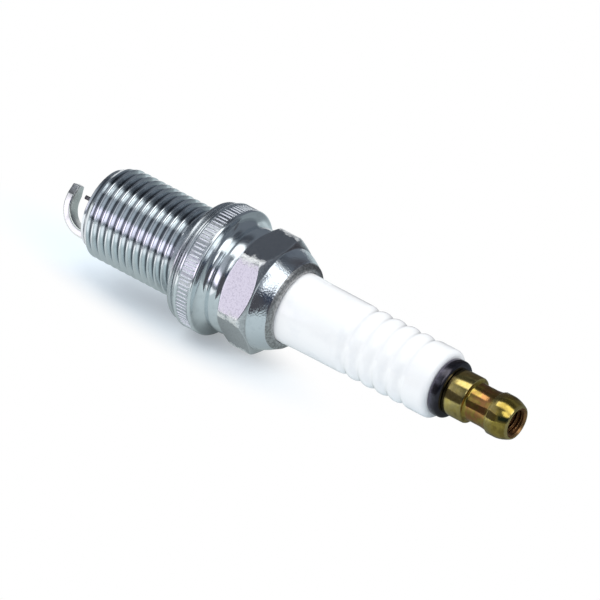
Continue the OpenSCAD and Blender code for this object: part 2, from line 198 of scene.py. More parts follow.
class Skin:
    """Collects rings of points round the plug's axis and joins them to one closed mesh."""

    def __init__(self, angles: np.ndarray) -> None:
        """Starts with no rings.

        Args:
            angles: where each ring has its points, in radians.
        """
        self.angles = angles
        self.rows: list[np.ndarray] = []
        self.zones: list[int] = []

    def ring(self, x: float | np.ndarray, radius: float | np.ndarray, zone: int = 0) -> None:
        """Adds one ring, at places along the axis and radii that may change round the axis.

        Args:
            x: place along the axis in mm, one number or one for each angle.
            radius: distance from the axis in mm, one number or one for each angle.
            zone: which of the piece's finishes covers the faces from this ring on.
        """
        along = np.broadcast_to(np.asarray(x, dtype=float), self.angles.shape)
        out = np.broadcast_to(np.asarray(radius, dtype=float), self.angles.shape)
        self.rows.append(np.stack([along, out * np.cos(self.angles), out * np.sin(self.angles)], axis=1))
        self.zones.append(int(zone))

    def rings(self, points: Iterable[Point], zone: int = 0) -> None:
        """Adds a plain ring for each (x, radius) in mm, all in one zone."""
        for x, radius in points:
            self.ring(x, radius, zone)

    def line(self, lining: "Skin") -> None:
        """Adds the rings of another skin in reverse, as the lining of a hole."""
        self.rows.extend(reversed(lining.rows))
        self.zones.extend(reversed(lining.zones))

    def closed(self) -> None:
        """Ends where it began, for a piece with a hole along its axis."""
        self.rows.append(self.rows[0])
        self.zones.append(self.zones[0])

    def piece(self, name: str, sharp: float) -> Piece:
        """Returns the finished object, with edges sharper than the angle in degrees left sharp."""
        return join_grids(name, [np.stack(self.rows)], [self.zones], sharp)


def capped(rings: Sequence[np.ndarray]) -> np.ndarray:
    """Returns rings of points as one grid, closed at both ends by a point in the ring's middle."""
    first, last = (np.broadcast_to(ring[:-1].mean(axis=0), ring.shape) for ring in (rings[0], rings[-1]))
    return np.stack([first, *rings, last])


def join_grids(
    name: str, grids: Sequence[np.ndarray], zones: Sequence[Sequence[int]], sharp: float
) -> Piece:
    """Makes one object from grids of points, welds the points that meet, and marks worn edges.

    Args:
        name: the object's name.
        grids: arrays of rows, columns and three coordinates in mm.
        zones: for each grid, the finish number of each row.
        sharp: edges sharper than this angle in degrees stay sharp.

    Returns:
        The object, linked to the scene, with a wear value on each point.
    """
    points: list[np.ndarray] = []
    faces: list[tuple[int, int, int, int]] = []
    finish: list[int] = []
    first = 0
    for grid, row_zones in zip(grids, zones):
        rows, columns = grid.shape[:2]
        points.append(grid.reshape(-1, 3))
        for row in range(rows - 1):
            start = first + row * columns
            for low in range(start, start + columns - 1):
                faces.append((low, low + 1, low + 1 + columns, low + columns))
            finish.extend([row_zones[row]] * (columns - 1))
        first += rows * columns
    mesh = bpy.data.meshes.new(name)
    mesh.from_pydata((np.concatenate(points) * MM).tolist(), [], faces)
    mesh.polygons.foreach_set("material_index", finish)
    work = bmesh.new()
    work.from_mesh(mesh)
    bmesh.ops.remove_doubles(work, verts=work.verts, dist=WELD_GAP)
    bmesh.ops.dissolve_degenerate(work, edges=work.edges, dist=WELD_GAP)
    bmesh.ops.recalc_face_normals(work, faces=work.faces)
    work.to_mesh(mesh)
    mesh.attributes.new("wear", "FLOAT", "POINT").data.foreach_set("value", worn_points(work))
    work.free()
    mesh.polygons.foreach_set("use_smooth", [True] * len(mesh.polygons))
    mesh.set_sharp_from_angle(angle=math.radians(sharp))
    return place_object(name, mesh)


def place_object(name: str, data: bpy.types.ID) -> Piece:
    """Makes an object and links it to the scene.

    Args:
        name: the object's name.
        data: its mesh, lamp or camera.

    Returns:
        The object.
    """
    made = bpy.data.objects.new(name, data)
    bpy.context.scene.collection.objects.link(made)
    return made


def worn_points(work: bmesh.types.BMesh) -> list[float]:
    """Finds how much each point stands out on a convex edge.

    Args:
        work: the mesh.

    Returns:
        For each point a number from 0 on a flat place to 1 on a sharp edge.
    """
    work.verts.index_update()
    worn = [0.0] * len(work.verts)
    for edge in work.edges:
        if len(edge.link_faces) == 2:
            bend = math.degrees(edge.calc_face_angle_signed(0.0))
            amount = min(max((bend - WEAR_STARTS) / WEAR_SPAN, 0.0), 1.0)
            for vert in edge.verts:
                worn[vert.index] = max(worn[vert.index], amount)
    for fade in WEAR_SPREAD:
        spread = list(worn)
        for edge in work.edges:
            first, second = (vert.index for vert in edge.verts)
            spread[first] = max(spread[first], worn[second] * fade)
            spread[second] = max(spread[second], worn[first] * fade)
        worn = spread
    return worn


class Graph:
    """A node tree being built, with short ways to add and feed nodes."""

    def __init__(self, tree: Group) -> None:
        """Takes up a tree as it is."""
        self.tree = tree

    @classmethod
    def blank(cls, owner: bpy.types.Material | bpy.types.World) -> "Graph":
        """Empties the node tree of a material or world.

        Args:
            owner: the material or world.

        Returns:
            The graph of its empty tree.
        """
        owner.use_nodes = True
        owner.node_tree.nodes.clear()
        return cls(owner.node_tree)

    def add(self, kind: str, **settings: object) -> Node:
        """Adds a node.

        Args:
            kind: Blender's name for this kind of node.
            settings: the node's own settings.

        Returns:
            The node.
        """
        node = self.tree.nodes.new(kind)
        for key, value in settings.items():
            setattr(node, key, value)
        return node

    def feed(self, socket: Socket, value: object) -> None:
        """Links a socket to a node's output, or sets it to a constant.

        Args:
            socket: the input that is fed.
            value: an output, a number, or three numbers for a colour or vector.
        """
        if isinstance(value, Socket):
            self.tree.links.new(value, socket)
        elif isinstance(value, tuple) and len(value) == 3 and socket.type == "RGBA":
            socket.default_value = (*value, 1.0)
        else:
            socket.default_value = value

    def fed(self, kind: str, values: Iterable[object], **settings: object) -> Node:
        """Adds a node and feeds its inputs in their order.

        Args:
            kind: Blender's name for this kind of node.
            values: what its inputs get.
            settings: the node's own settings.

        Returns:
            The node.
        """
        node = self.add(kind, **settings)
        for socket, value in zip(node.inputs, values):
            self.feed(socket, value)
        return node

    def math(self, operation: str, *values: object) -> Socket:
        """Returns the output of a maths node on the values."""
        return self.fed("ShaderNodeMath", values, operation=operation).outputs[0]

    def times(self, product: object, *factors: object) -> Socket:
        """Multiplies several values.

        Args:
            product: the first value.
            factors: the others.

        Returns:
            Their product.
        """
        for factor in factors:
            product = self.math("MULTIPLY", product, factor)
        return product

    def vector(self, operation: str, output: str, *values: object) -> Socket:
        """Returns the named output of a vector maths node on the values."""
        return self.fed("ShaderNodeVectorMath", values, operation=operation).outputs[output]

    def split(self, vector: Socket) -> Sequence[Socket]:
        """Returns the three parts of a vector."""
        return self.fed("ShaderNodeSeparateXYZ", [vector]).outputs

    def blend(self, factor: object, first: object, second: object) -> Socket:
        """Mixes two colours.

        Args:
            factor: 0 for the first one, 1 for the second.
            first: a colour.
            second: another colour.

        Returns:
            The mixed colour.
        """
        node = self.add("ShaderNodeMix", data_type="RGBA")
        for index, value in ((0, factor), (MIX_FIRST, first), (MIX_SECOND, second)):
            self.feed(node.inputs[index], value)
        return node.outputs[MIX_RESULT]

    def ramp(
        self, value: object, low: object, high: object, to_low: object = 0.0, to_high: object = 1.0
    ) -> Socket:
        """Maps a value smoothly from one span to another.

        Args:
            value: what is mapped.
            low: where the span starts.
            high: where it ends.
            to_low: what comes out at its start and before.
            to_high: what comes out at its end and past it.

        Returns:
            The mapped value.
        """
        values = (value, low, high, to_low, to_high)
        return self.fed("ShaderNodeMapRange", values, interpolation_type="SMOOTHSTEP").outputs[0]

    def noise(self, vector: object, scale: object, detail: float = 2.0) -> Socket:
        """Makes smooth noise.

        Args:
            vector: the place.
            scale: how many patches there are in one unit of the place.
            detail: how many finer layers are added.

        Returns:
            The noise, about 0 to 1.
        """
        node = self.add("ShaderNodeTexNoise")
        self.feed(node.inputs["Vector"], vector)
        self.feed(node.inputs["Scale"], scale)
        node.inputs["Detail"].default_value = detail
        return node.outputs[0]

    def use(self, group: Group, **values: object) -> Node:
        """Places a node group.

        Args:
            group: the group.
            values: what its inputs get, by name with _ for spaces.

        Returns:
            The group's node.
        """
        node = self.add("ShaderNodeGroup", node_tree=group)
        for key, value in values.items():
            self.feed(node.inputs[key.replace("_", " ")], value)
        return node

    def surface(self, shader: Node, output: str = "ShaderNodeOutputMaterial") -> None:
        """Ends the graph with a shader on a new output node."""
        self.feed(self.add(output).inputs["Surface"], shader.outputs[0])


class Effects:
    """The shared shader effects, each a node group that is built once."""

    number: str = "NodeSocketFloat"
    vector: str = "NodeSocketVector"
    drift_per_mm: float = 0.35
    drift: float = 1.6
    wear_breaks: float = 0.35
    wear_span: Point = (0.25, 0.75)
    bare_edge: float = 0.72
    full_edge: float = 0.28
    blotch_feather: float = 0.08
    front_only: float = 0.02
    least_depth: float = 1e-4

    def __init__(self) -> None:
        """Builds the groups, the ones that others use first."""
        self.place = self.make_place()
        self.turned = self.make_turned()
        self.grain = self.make_grain()
        self.wear = self.make_wear()
        self.blotch = self.make_blotch()
        self.softbox = self.make_softbox()

    @staticmethod
    def start(
        name: str, inputs: dict[str, tuple[str, object]], outputs: dict[str, str]
    ) -> tuple[Graph, Node, Node]:
        """Starts a group.

        Args:
            name: the group's name.
            inputs: each input's kind of socket and standard value.
            outputs: each output's kind of socket.

        Returns:
            The graph, its input node and its output node.
        """
        tree = bpy.data.node_groups.new(name, "ShaderNodeTree")
        for key, (kind, value) in inputs.items():
            tree.interface.new_socket(key, in_out="INPUT", socket_type=kind).default_value = value
        for key, kind in outputs.items():
            tree.interface.new_socket(key, in_out="OUTPUT", socket_type=kind)
        graph = Graph(tree)
        return graph, graph.add("NodeGroupInput"), graph.add("NodeGroupOutput")

    def make_place(self) -> Group:
        """Builds what tells where a point is, along the axis and out from it.

        Returns:
            The group, which puts out mm.
        """
        outputs = {"Point": self.vector, "Along": self.number, "Out": self.number}
        graph, _, out = self.start("plug_place", {}, outputs)
        point = graph.vector("SCALE", "Vector", graph.add("ShaderNodeTexCoord").outputs["Object"])
        point.node.inputs["Scale"].default_value = 1.0 / MM
        along, across, up = graph.split(point)
        square = graph.math("ADD", graph.math("POWER", across, 2.0), graph.math("POWER", up, 2.0))
        graph.feed(out.inputs["Point"], point)
        graph.feed(out.inputs["Along"], along)
        graph.feed(out.inputs["Out"], graph.math("SQRT", square))
        return graph.tree

    def make_turned(self) -> Group:
        """Builds the fine rings that a lathe tool leaves round the axis.

        Returns:
            The group.
        """
        inputs = {"Per mm": (self.number, 6.0)}
        graph, given, out = self.start("turned_marks", inputs, {"Height": self.number})
        place = graph.use(self.place)
        along, away = (graph.times(place.outputs[key], given.outputs[0]) for key in ("Along", "Out"))
        drift = graph.times(graph.noise(place.outputs["Point"], self.drift_per_mm, 1.0), self.drift)
        lines = graph.fed("ShaderNodeCombineXYZ", (along, away, drift))
        graph.feed(out.inputs[0], graph.noise(lines.outputs[0], 1.0, 3.0))
        return graph.tree

    def make_grain(self) -> Group:
        """Builds an even, fine grain.

        Returns:
            The group.
        """
        inputs = {"Per mm": (self.number, 5.0)}
        graph, given, out = self.start("fine_grain", inputs, {"Height": self.number})
        place = graph.use(self.place)
        graph.feed(out.inputs[0], graph.noise(place.outputs["Point"], given.outputs[0], 4.0))
        return graph.tree

    def make_wear(self) -> Group:
        """Builds the mask of convex edges that rub bare, broken up by noise.

        Returns:
            The group.
        """
        inputs = {"Amount": (self.number, 0.6), "Breaks per mm": (self.number, 2.2)}
        graph, given, out = self.start("edge_wear", inputs, {"Mask": self.number})
        place = graph.use(self.place)
        edge = graph.add("ShaderNodeAttribute", attribute_name="wear").outputs["Fac"]
        rough = graph.noise(place.outputs["Point"], given.outputs[1], 3.0)
        broken = graph.times(edge, graph.math("ADD", rough, self.wear_breaks))
        graph.feed(out.inputs[0], graph.times(graph.ramp(broken, *self.wear_span), given.outputs[0]))
        return graph.tree

    def make_blotch(self) -> Group:
        """Builds soft uneven patches, as of stain, dust or oil.

        Returns:
            The group.
        """
        inputs = {"Per mm": (self.number, 0.5), "Cover": (self.number, 0.5)}
        graph, given, out = self.start("soft_blotches", inputs, {"Mask": self.number})
        place = graph.use(self.place)
        cloud = graph.noise(place.outputs["Point"], given.outputs[0], 5.0)
        edge = graph.math("MULTIPLY_ADD", given.outputs[1], self.full_edge - self.bare_edge, self.bare_edge)
        low, high = (graph.math(way, edge, self.blotch_feather) for way in ("SUBTRACT", "ADD"))
        graph.feed(out.inputs[0], graph.ramp(cloud, low, high))
        return graph.tree

    def make_softbox(self) -> Group:
        """Builds the mask of a soft-edged panel as seen from the middle of the tent.

        Returns:
            The group.
        """
        inputs = {
            "Toward": (self.vector, (0.0, 0.0, 1.0)),
            "Across": (self.vector, (1.0, 0.0, 0.0)),
            "Half width": (self.number, 0.5),
            "Half height": (self.number, 0.5),
            "Feather": (self.number, 0.1),
        }
        graph, given, out = self.start("softbox", inputs, {"Mask": self.number})
        toward, across, width, height, feather = given.outputs[:5]
        ray = graph.add("ShaderNodeTexCoord").outputs["Object"]
        up = graph.vector("CROSS_PRODUCT", "Vector", toward, across)
        depth = graph.vector("DOT_PRODUCT", "Value", ray, toward)
        safe = graph.math("MAXIMUM", depth, self.least_depth)
        mask = graph.ramp(depth, 0.0, self.front_only)
        for side, half in ((across, width), (up, height)):
            offset = graph.math("DIVIDE", graph.vector("DOT_PRODUCT", "Value", ray, side), safe)
            low, high = (graph.math(way, half, feather) for way in ("SUBTRACT", "ADD"))
            mask = graph.times(mask, graph.ramp(graph.math("ABSOLUTE", offset), low, high, 1.0, 0.0))
        graph.feed(out.inputs[0], mask)
        return graph.tree


EFFECTS = Effects()


@dataclass(frozen=True)
class Finish:
    """What every finish has: its name, main colour and roughness."""

    name: str
    tone: Rgb
    roughness: float

    def material(self) -> bpy.types.Material:
        """Makes this finish's material at the first call.

        Returns:
            The material.
        """
        made = bpy.data.materials.get(self.name)
        if made is None:
            made = bpy.data.materials.new(self.name)
            made.use_nodes = True
            self.paint(Graph(made.node_tree), made.node_tree.nodes["Principled BSDF"])
        return made

    def paint(self, graph: Graph, shader: Node) -> None:
        """Feeds the shader; each kind of finish does this in its own way."""
        raise NotImplementedError

    @staticmethod
    def bump(graph: Graph, shader: Node, height: object, depth: float) -> None:
        """Gives the shader a bump.

        Args:
            graph: the material's graph.
            shader: its shader.
            height: the relief.
            depth: how many mm a height of 1 stands for.
        """
        node = graph.add("ShaderNodeBump")
        node.inputs["Distance"].default_value = depth * MM
        graph.feed(node.inputs["Height"], height)
        graph.feed(shader.inputs["Normal"], node.outputs[0])


class Look(NamedTuple):
    """What a metal feeds its shader with: colour, roughness, and relief in mm."""

    colour: Socket
    rough: Socket
    height: Socket


@dataclass(frozen=True)
class Metal(Finish):
    """A bare or plated metal with lathe marks, grain, worn edges and stains."""

    worn: Rgb = (0.86, 0.88, 0.90)
    wear: float = 0.5
    stain: Rgb = (0.46, 0.48, 0.51)
    stain_strength: float = 0.6
    stain_cover: float = 0.3
    stain_per_mm: float = 0.5
    stain_rough: float = 0.1
    turned_per_mm: float = 7.0
    turned_depth: float = 0.004
    grain_per_mm: float = 6.0
    grain_depth: float = 0.004
    grain_rough: float = 0.06

    def paint(self, graph: Graph, shader: Node) -> None:
        """Feeds colour, roughness and bump from the shared effects.

        Args:
            graph: the material's graph.
            shader: its shader.
        """
        shader.inputs["Metallic"].default_value = 1.0
        stain = graph.use(EFFECTS.blotch, Per_mm=self.stain_per_mm, Cover=self.stain_cover).outputs[0]
        wear = graph.use(EFFECTS.wear, Amount=self.wear).outputs[0]
        turned = graph.use(EFFECTS.turned, Per_mm=self.turned_per_mm).outputs[0]
        grain = graph.use(EFFECTS.grain, Per_mm=self.grain_per_mm).outputs[0]
        colour = graph.blend(graph.times(stain, self.stain_strength), self.tone, self.stain)
        rough = graph.math("MULTIPLY_ADD", stain, self.stain_rough, self.roughness)
        rough = graph.math("MULTIPLY_ADD", grain, self.grain_rough, rough)
        height = graph.math("MULTIPLY_ADD", turned, self.turned_depth, graph.times(grain, self.grain_depth))
        look = self.mark(graph, shader, Look(colour, rough, height))
        graph.feed(shader.inputs["Base Color"], graph.blend(wear, look.colour, self.worn))
        graph.feed(shader.inputs["Roughness"], look.rough)
        self.bump(graph, shader, look.height, 1.0)

    def mark(self, graph: Graph, shader: Node, look: Look) -> Look:
        """Returns the look with this metal's own marks on the part; plain metal has none."""
        return look


@dataclass(frozen=True)
class ThreadMetal(Metal):
    """Plated metal with painted shade in its thread roots."""

    # The root colour is painted shade, strongest at the root radius and gone a little below the crest.
    root: Rgb = (0.15, 0.165, 0.19)
    root_radius: float = 6.25
    root_shade_end: float = 6.565
    root_shade_strength: float = 0.95

    def mark(self, graph: Graph, shader: Node, look: Look) -> Look:
        """Paints shade into the roots.

        Args:
            graph: the material's graph.
            shader: its shader.
            look: the plain metal's look.

        Returns:
            The look with painted shade in the roots.
        """
        out = graph.use(EFFECTS.place).outputs["Out"]
        # Painted shade: full at the root radius, fading out towards the crest.
        root = graph.ramp(out, self.root_radius, self.root_shade_end, self.root_shade_strength, 0.0)
        return look._replace(colour=graph.blend(root, look.colour, self.root))


@dataclass(frozen=True)
class HexMetal(Metal):
    """Plated metal of the hexagon, rubbed dull and pale in patches at its corners."""

    rubbed: Rgb = (0.90, 0.90, 0.88)
    rub_from: float = 8.66
    rub_to: float = 8.98
    rub_depth: float = 0.06
    rub_dulls: float = 0.45
    rub_rough: float = 0.12
    grit_per_mm: float = 2.8
    cloud_per_mm: float = 0.9
    cloud_reach: float = 1.3
    speck_per_mm: float = 3.5
    speck_cover: float = 0.62

    def mark(self, graph: Graph, shader: Node, look: Look) -> Look:
        """Pales, dulls and roughens the rubbed patches.

        Args:
            graph: the material's graph.
            shader: its shader.
            look: the plain metal's look.

        Returns:
            The look with rubbed patches.
        """
        rub = self.rub(graph)
        grit = graph.use(EFFECTS.grain, Per_mm=self.grit_per_mm).outputs[0]
        graph.feed(shader.inputs["Metallic"], graph.math("MULTIPLY_ADD", rub, -self.rub_dulls, 1.0))
        return Look(
            graph.blend(rub, look.colour, self.rubbed),
            graph.math("MULTIPLY_ADD", rub, self.rub_rough, look.rough),
            graph.math("MULTIPLY_ADD", graph.times(grit, rub), self.rub_depth, look.height),
        )

    def rub(self, graph: Graph) -> Socket:
        """Makes the mask of the rubbed patches.

        Args:
            graph: the material's graph.

        Returns:
            The mask.
        """
        place = graph.use(EFFECTS.place)
        cloud = graph.math("SUBTRACT", graph.noise(place.outputs["Point"], self.cloud_per_mm, 6.0), 0.5)
        reach = graph.math("MULTIPLY_ADD", cloud, self.cloud_reach, place.outputs["Out"])
        specks = graph.use(EFFECTS.blotch, Per_mm=self.speck_per_mm, Cover=self.speck_cover).outputs[0]
        broken = graph.math("MULTIPLY_ADD", specks, 0.5, 0.5)
        return graph.times(graph.ramp(reach, self.rub_from, self.rub_to), broken)


@dataclass(frozen=True)
class TarnishedBrass(Metal):
    """Turned brass that is redder over one stretch of the axis."""

    red: Rgb = (0.60, 0.27, 0.10)
    red_from: float = 47.4
    red_to: float = 51.2
    red_feather: float = 0.5
    patch_per_mm: float = 0.9
    patch_cover: float = 0.55
    patch_red: float = 0.75
    least_red: float = 0.15

    def mark(self, graph: Graph, shader: Node, look: Look) -> Look:
        """Reddens the waist in uneven patches.

        Args:
            graph: the material's graph.
            shader: its shader.
            look: the plain brass's look.

        Returns:
            The look with the red waist.
        """
        along = graph.use(EFFECTS.place).outputs["Along"]
        patch = graph.use(EFFECTS.blotch, Per_mm=self.patch_per_mm, Cover=self.patch_cover).outputs[0]
        inside = graph.times(
            graph.ramp(along, self.red_from, self.red_from + self.red_feather),
            graph.ramp(along, self.red_to - self.red_feather, self.red_to, 1.0, 0.0),
        )
        amount = graph.math("MULTIPLY_ADD", patch, self.patch_red, self.least_red)
        return look._replace(colour=graph.blend(graph.times(inside, amount), look.colour, self.red))


@dataclass(frozen=True)
class Glaze(Finish):
    """White fired glaze with faint unevenness and a little dust."""

    dust: Rgb = (0.80, 0.82, 0.84)
    dust_per_mm: float = 0.35
    dust_cover: float = 0.3
    dust_strength: float = 0.25
    dust_rough: float = 0.08
    uneven_per_mm: float = 1.5
    uneven_depth: float = 0.006
    index: float = 1.55

    def paint(self, graph: Graph, shader: Node) -> None:
        """Feeds colour, roughness and bump from the shared effects.

        Args:
            graph: the material's graph.
            shader: its shader.
        """
        dust = graph.use(EFFECTS.blotch, Per_mm=self.dust_per_mm, Cover=self.dust_cover).outputs[0]
        uneven = graph.use(EFFECTS.grain, Per_mm=self.uneven_per_mm).outputs[0]
        shader.inputs["IOR"].default_value = self.index
        colour = graph.blend(graph.times(dust, self.dust_strength), self.tone, self.dust)
        graph.feed(shader.inputs["Base Color"], colour)
        rough = graph.math("MULTIPLY_ADD", dust, self.dust_rough, self.roughness)
        graph.feed(shader.inputs["Roughness"], rough)
        self.bump(graph, shader, uneven, self.uneven_depth)


@dataclass(frozen=True)
class Matter(Finish):
    """A dull material with a second colour in fine grains."""

    fleck: Rgb = (0.5, 0.5, 0.5)
    per_mm: float = 4.0
    cover: float = 0.4
    depth: float = 0.02

    def paint(self, graph: Graph, shader: Node) -> None:
        """Feeds colour and bump from the shared effects.

        Args:
            graph: the material's graph.
            shader: its shader.
        """
        fleck = graph.use(EFFECTS.blotch, Per_mm=self.per_mm, Cover=self.cover).outputs[0]
        shader.inputs["Roughness"].default_value = self.roughness
        graph.feed(shader.inputs["Base Color"], graph.blend(fleck, self.tone, self.fleck))
        self.bump(graph, shader, fleck, self.depth)


PLATED = Metal("plated_turned", (0.78, 0.82, 0.845), 0.10, stain=(0.67, 0.705, 0.73), stain_rough=0.06)
PLATED_THREAD = ThreadMetal(
    "plated_thread", (0.84, 0.885, 0.91), 0.09, stain=(0.73, 0.77, 0.79), stain_rough=0.06,
    turned_per_mm=9.0, turned_depth=0.002,
)
PLATED_HEX = HexMetal(
    "plated_hexagon", (0.55, 0.555, 0.57), 0.2, wear=0.6, stain=(0.40, 0.40, 0.43), stain_cover=0.36,
    stain_per_mm=4.2, stain_rough=0.0, turned_depth=0.001, grain_per_mm=3.6, grain_depth=0.001,
)
CRIMP_LIP = Metal(
    "crimp_lip", (0.52, 0.52, 0.52), 0.42, wear=0.2, stain=(0.22, 0.215, 0.21), stain_cover=0.46,
    stain_per_mm=3.2, turned_per_mm=3.0, turned_depth=0.05, grain_per_mm=2.4, grain_depth=0.08,
)
CRIMP = Metal(
    "crimp_slope", (0.78, 0.82, 0.86), 0.07, stain=(0.66, 0.69, 0.74), stain_rough=0.04,
    turned_depth=0.001, grain_per_mm=4.0, grain_depth=0.04,
)
# The recess between the flange's ribs is darker than the plating round it: painted shade.
SHADED_RECESS = Metal("rim_recess_painted_shade", (0.46, 0.48, 0.52), 0.24)
BORE = Metal("plain_bore", (0.40, 0.41, 0.43), 0.35, stain_cover=0.5)
RIB = Metal("flange_rib", (0.84, 0.865, 0.90), 0.2, wear=0.4, turned_depth=0.001)
GASKET = Metal("gasket_sheet", (0.62, 0.64, 0.66), 0.22, grain_depth=0.006)
WHITE = Glaze("white_glaze", (0.95, 0.945, 0.935), 0.09)
# On the collar's edges the pale purple worn colour is partly wear and partly a painted highlight.
BLACKENED = Metal(
    "blackened_steel", (0.105, 0.098, 0.118), 0.17, worn=(0.36, 0.33, 0.42), wear=0.45,
    stain=(0.06, 0.055, 0.062), stain_cover=0.5, stain_rough=0.06, turned_depth=0.006,
)
BRASS = TarnishedBrass(
    "turned_brass", (0.63, 0.46, 0.10), 0.06, worn=(0.84, 0.70, 0.34), wear=0.45,
    stain=(0.28, 0.19, 0.045), stain_cover=0.5, stain_per_mm=0.8, stain_rough=0.06, turned_depth=0.008,
)
BRASS_HOLE = Metal(
    "tapped_brass", (0.36, 0.16, 0.06), 0.32, worn=(0.66, 0.40, 0.18), stain=(0.10, 0.05, 0.02),
    stain_cover=0.6,
)
NICKEL = Metal(
    "nickel_strap", (0.80, 0.83, 0.77), 0.16, stain=(0.70, 0.72, 0.67), turned_depth=0.001, grain_depth=0.003
)
# The strap is one nickel throughout; the inner face's and the cut sides' darker tones are painted shade.
NICKEL_INSIDE_SHADED = Metal("nickel_inner_face_painted_shade", (0.49, 0.50, 0.48), 0.22, stain=(0.42, 0.43, 0.41))
NICKEL_CUT_SHADED = Metal("nickel_cut_side_painted_shade", (0.28, 0.28, 0.28), 0.28, stain=(0.20, 0.20, 0.20), grain_depth=0.006)
ROD = Metal("nickel_rod", (0.46, 0.45, 0.43), 0.32)
BEAD = Metal(
    "weld_bead", (0.34, 0.33, 0.33), 0.36, stain=(0.14, 0.10, 0.08), stain_cover=0.5, stain_per_mm=1.8,
    grain_depth=0.03,
)
# The tip's near-black tone is painted shade and painted dark reflection, darker than the wire's own colour.
TIP = Metal(
    "fine_wire_tip_painted_shade", (0.16, 0.155, 0.165), 0.34, stain=(0.07, 0.06, 0.07), stain_cover=0.5, stain_per_mm=2.0
)
COPPER = Metal("copper_core", (0.72, 0.36, 0.20), 0.3)
PACKING = Metal("packing_wire", (0.48, 0.48, 0.49), 0.3)
TALC = Matter("talc_powder", (0.80, 0.79, 0.76), 0.9, fleck=(0.70, 0.69, 0.66))
SEAL_GLASS = Matter("conductive_glass", (0.09, 0.08, 0.08), 0.4, fleck=(0.36, 0.20, 0.12))
RESISTOR = Matter("resistor_mix", (0.05, 0.05, 0.055), 0.7, fleck=(0.16, 0.16, 0.17))


def dress(piece: Piece, slot: Slot, *finishes: Finish) -> None:
    """Gives a piece its finishes.

    Args:
        piece: the piece.
        slot: the record's slot that it belongs to; not used.
        finishes: one for each of its zones, in their order.
    """
    for index, finish in enumerate(finishes):
        if index < len(piece.data.materials):
            piece.data.materials[index] = finish.material()
        else:
            piece.data.materials.append(finish.material())


def stand_for(piece: Piece, body: Body, *nodes: str) -> None:
    """Makes a piece ride on a body and stand for CAD nodes.

    Args:
        piece: the piece.
        body: what it moves with.
        nodes: the nodes that it replaces, if any.
    """
    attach(piece, body.value)
    if nodes:
        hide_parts(*nodes)
    log.info("%s rides on %s: %d faces", piece.name, body.value, len(piece.data.polygons))


@dataclass
class HelixThread:
    """A right-handed rolled thread with narrow, nearly flat crests, on a round of the plug or in a hole."""

    pitch: float
    root: float
    crest: float
    phase: float
    flank: float = 0.42
    crest_half: float = 0.1
    crown: float = 1.02
    roundness: float = 0.25
    stops: tuple[float, ...] = (0.0, 0.06, 0.16, 0.32, 0.5, 0.68, 0.84, 0.94, 1.0)

    def offsets(self) -> list[Point]:
        """Works out one pitch of the profile.

        Returns:
            Places from the crest, and heights of 0 at the root to about 1 at the crest.
        """
        rise = []
        for stop in self.stops:
            smooth = stop * stop * (3.0 - 2.0 * stop)
            height = (1.0 - self.roundness) * stop + self.roundness * smooth
            rise.append((-(self.crest_half + self.flank * (1.0 - stop)), height))
        fall = [(-place, height) for place, height in reversed(rise)]
        return [(-self.pitch / 2.0, 0.0), *rise, (0.0, self.crown), *fall]

    def cut(self, skin: Skin, ends: Point, radii: Point, slopes: Point, zone: int = 0) -> None:
        """Adds the thread's rings to a skin.

        Args:
            skin: what is added to.
            ends: where the threaded stretch starts and ends, in mm.
            radii: the plain radius at each end, from which a cone opens.
            slopes: each cone's rise in mm per mm, counted from its end.
            zone: the finish number of the thread's faces.
        """
        start, end = ends
        lead = self.pitch * skin.angles / FULL_TURN
        first = math.floor((start - self.phase) / self.pitch) - 2
        last = math.ceil((end - self.phase) / self.pitch) + 1
        for turn in range(first, last + 1):
            for offset, height in self.offsets():
                x = np.clip(self.phase + turn * self.pitch + offset + lead, start, end)
                radius = np.full_like(x, self.root + height * (self.crest - self.root))
                radius = np.minimum(radius, radii[0] + np.maximum(x - start, 0.0) * slopes[0])
                radius = np.minimum(radius, radii[1] + np.maximum(end - x, 0.0) * slopes[1])
                skin.ring(x, radius, zone)


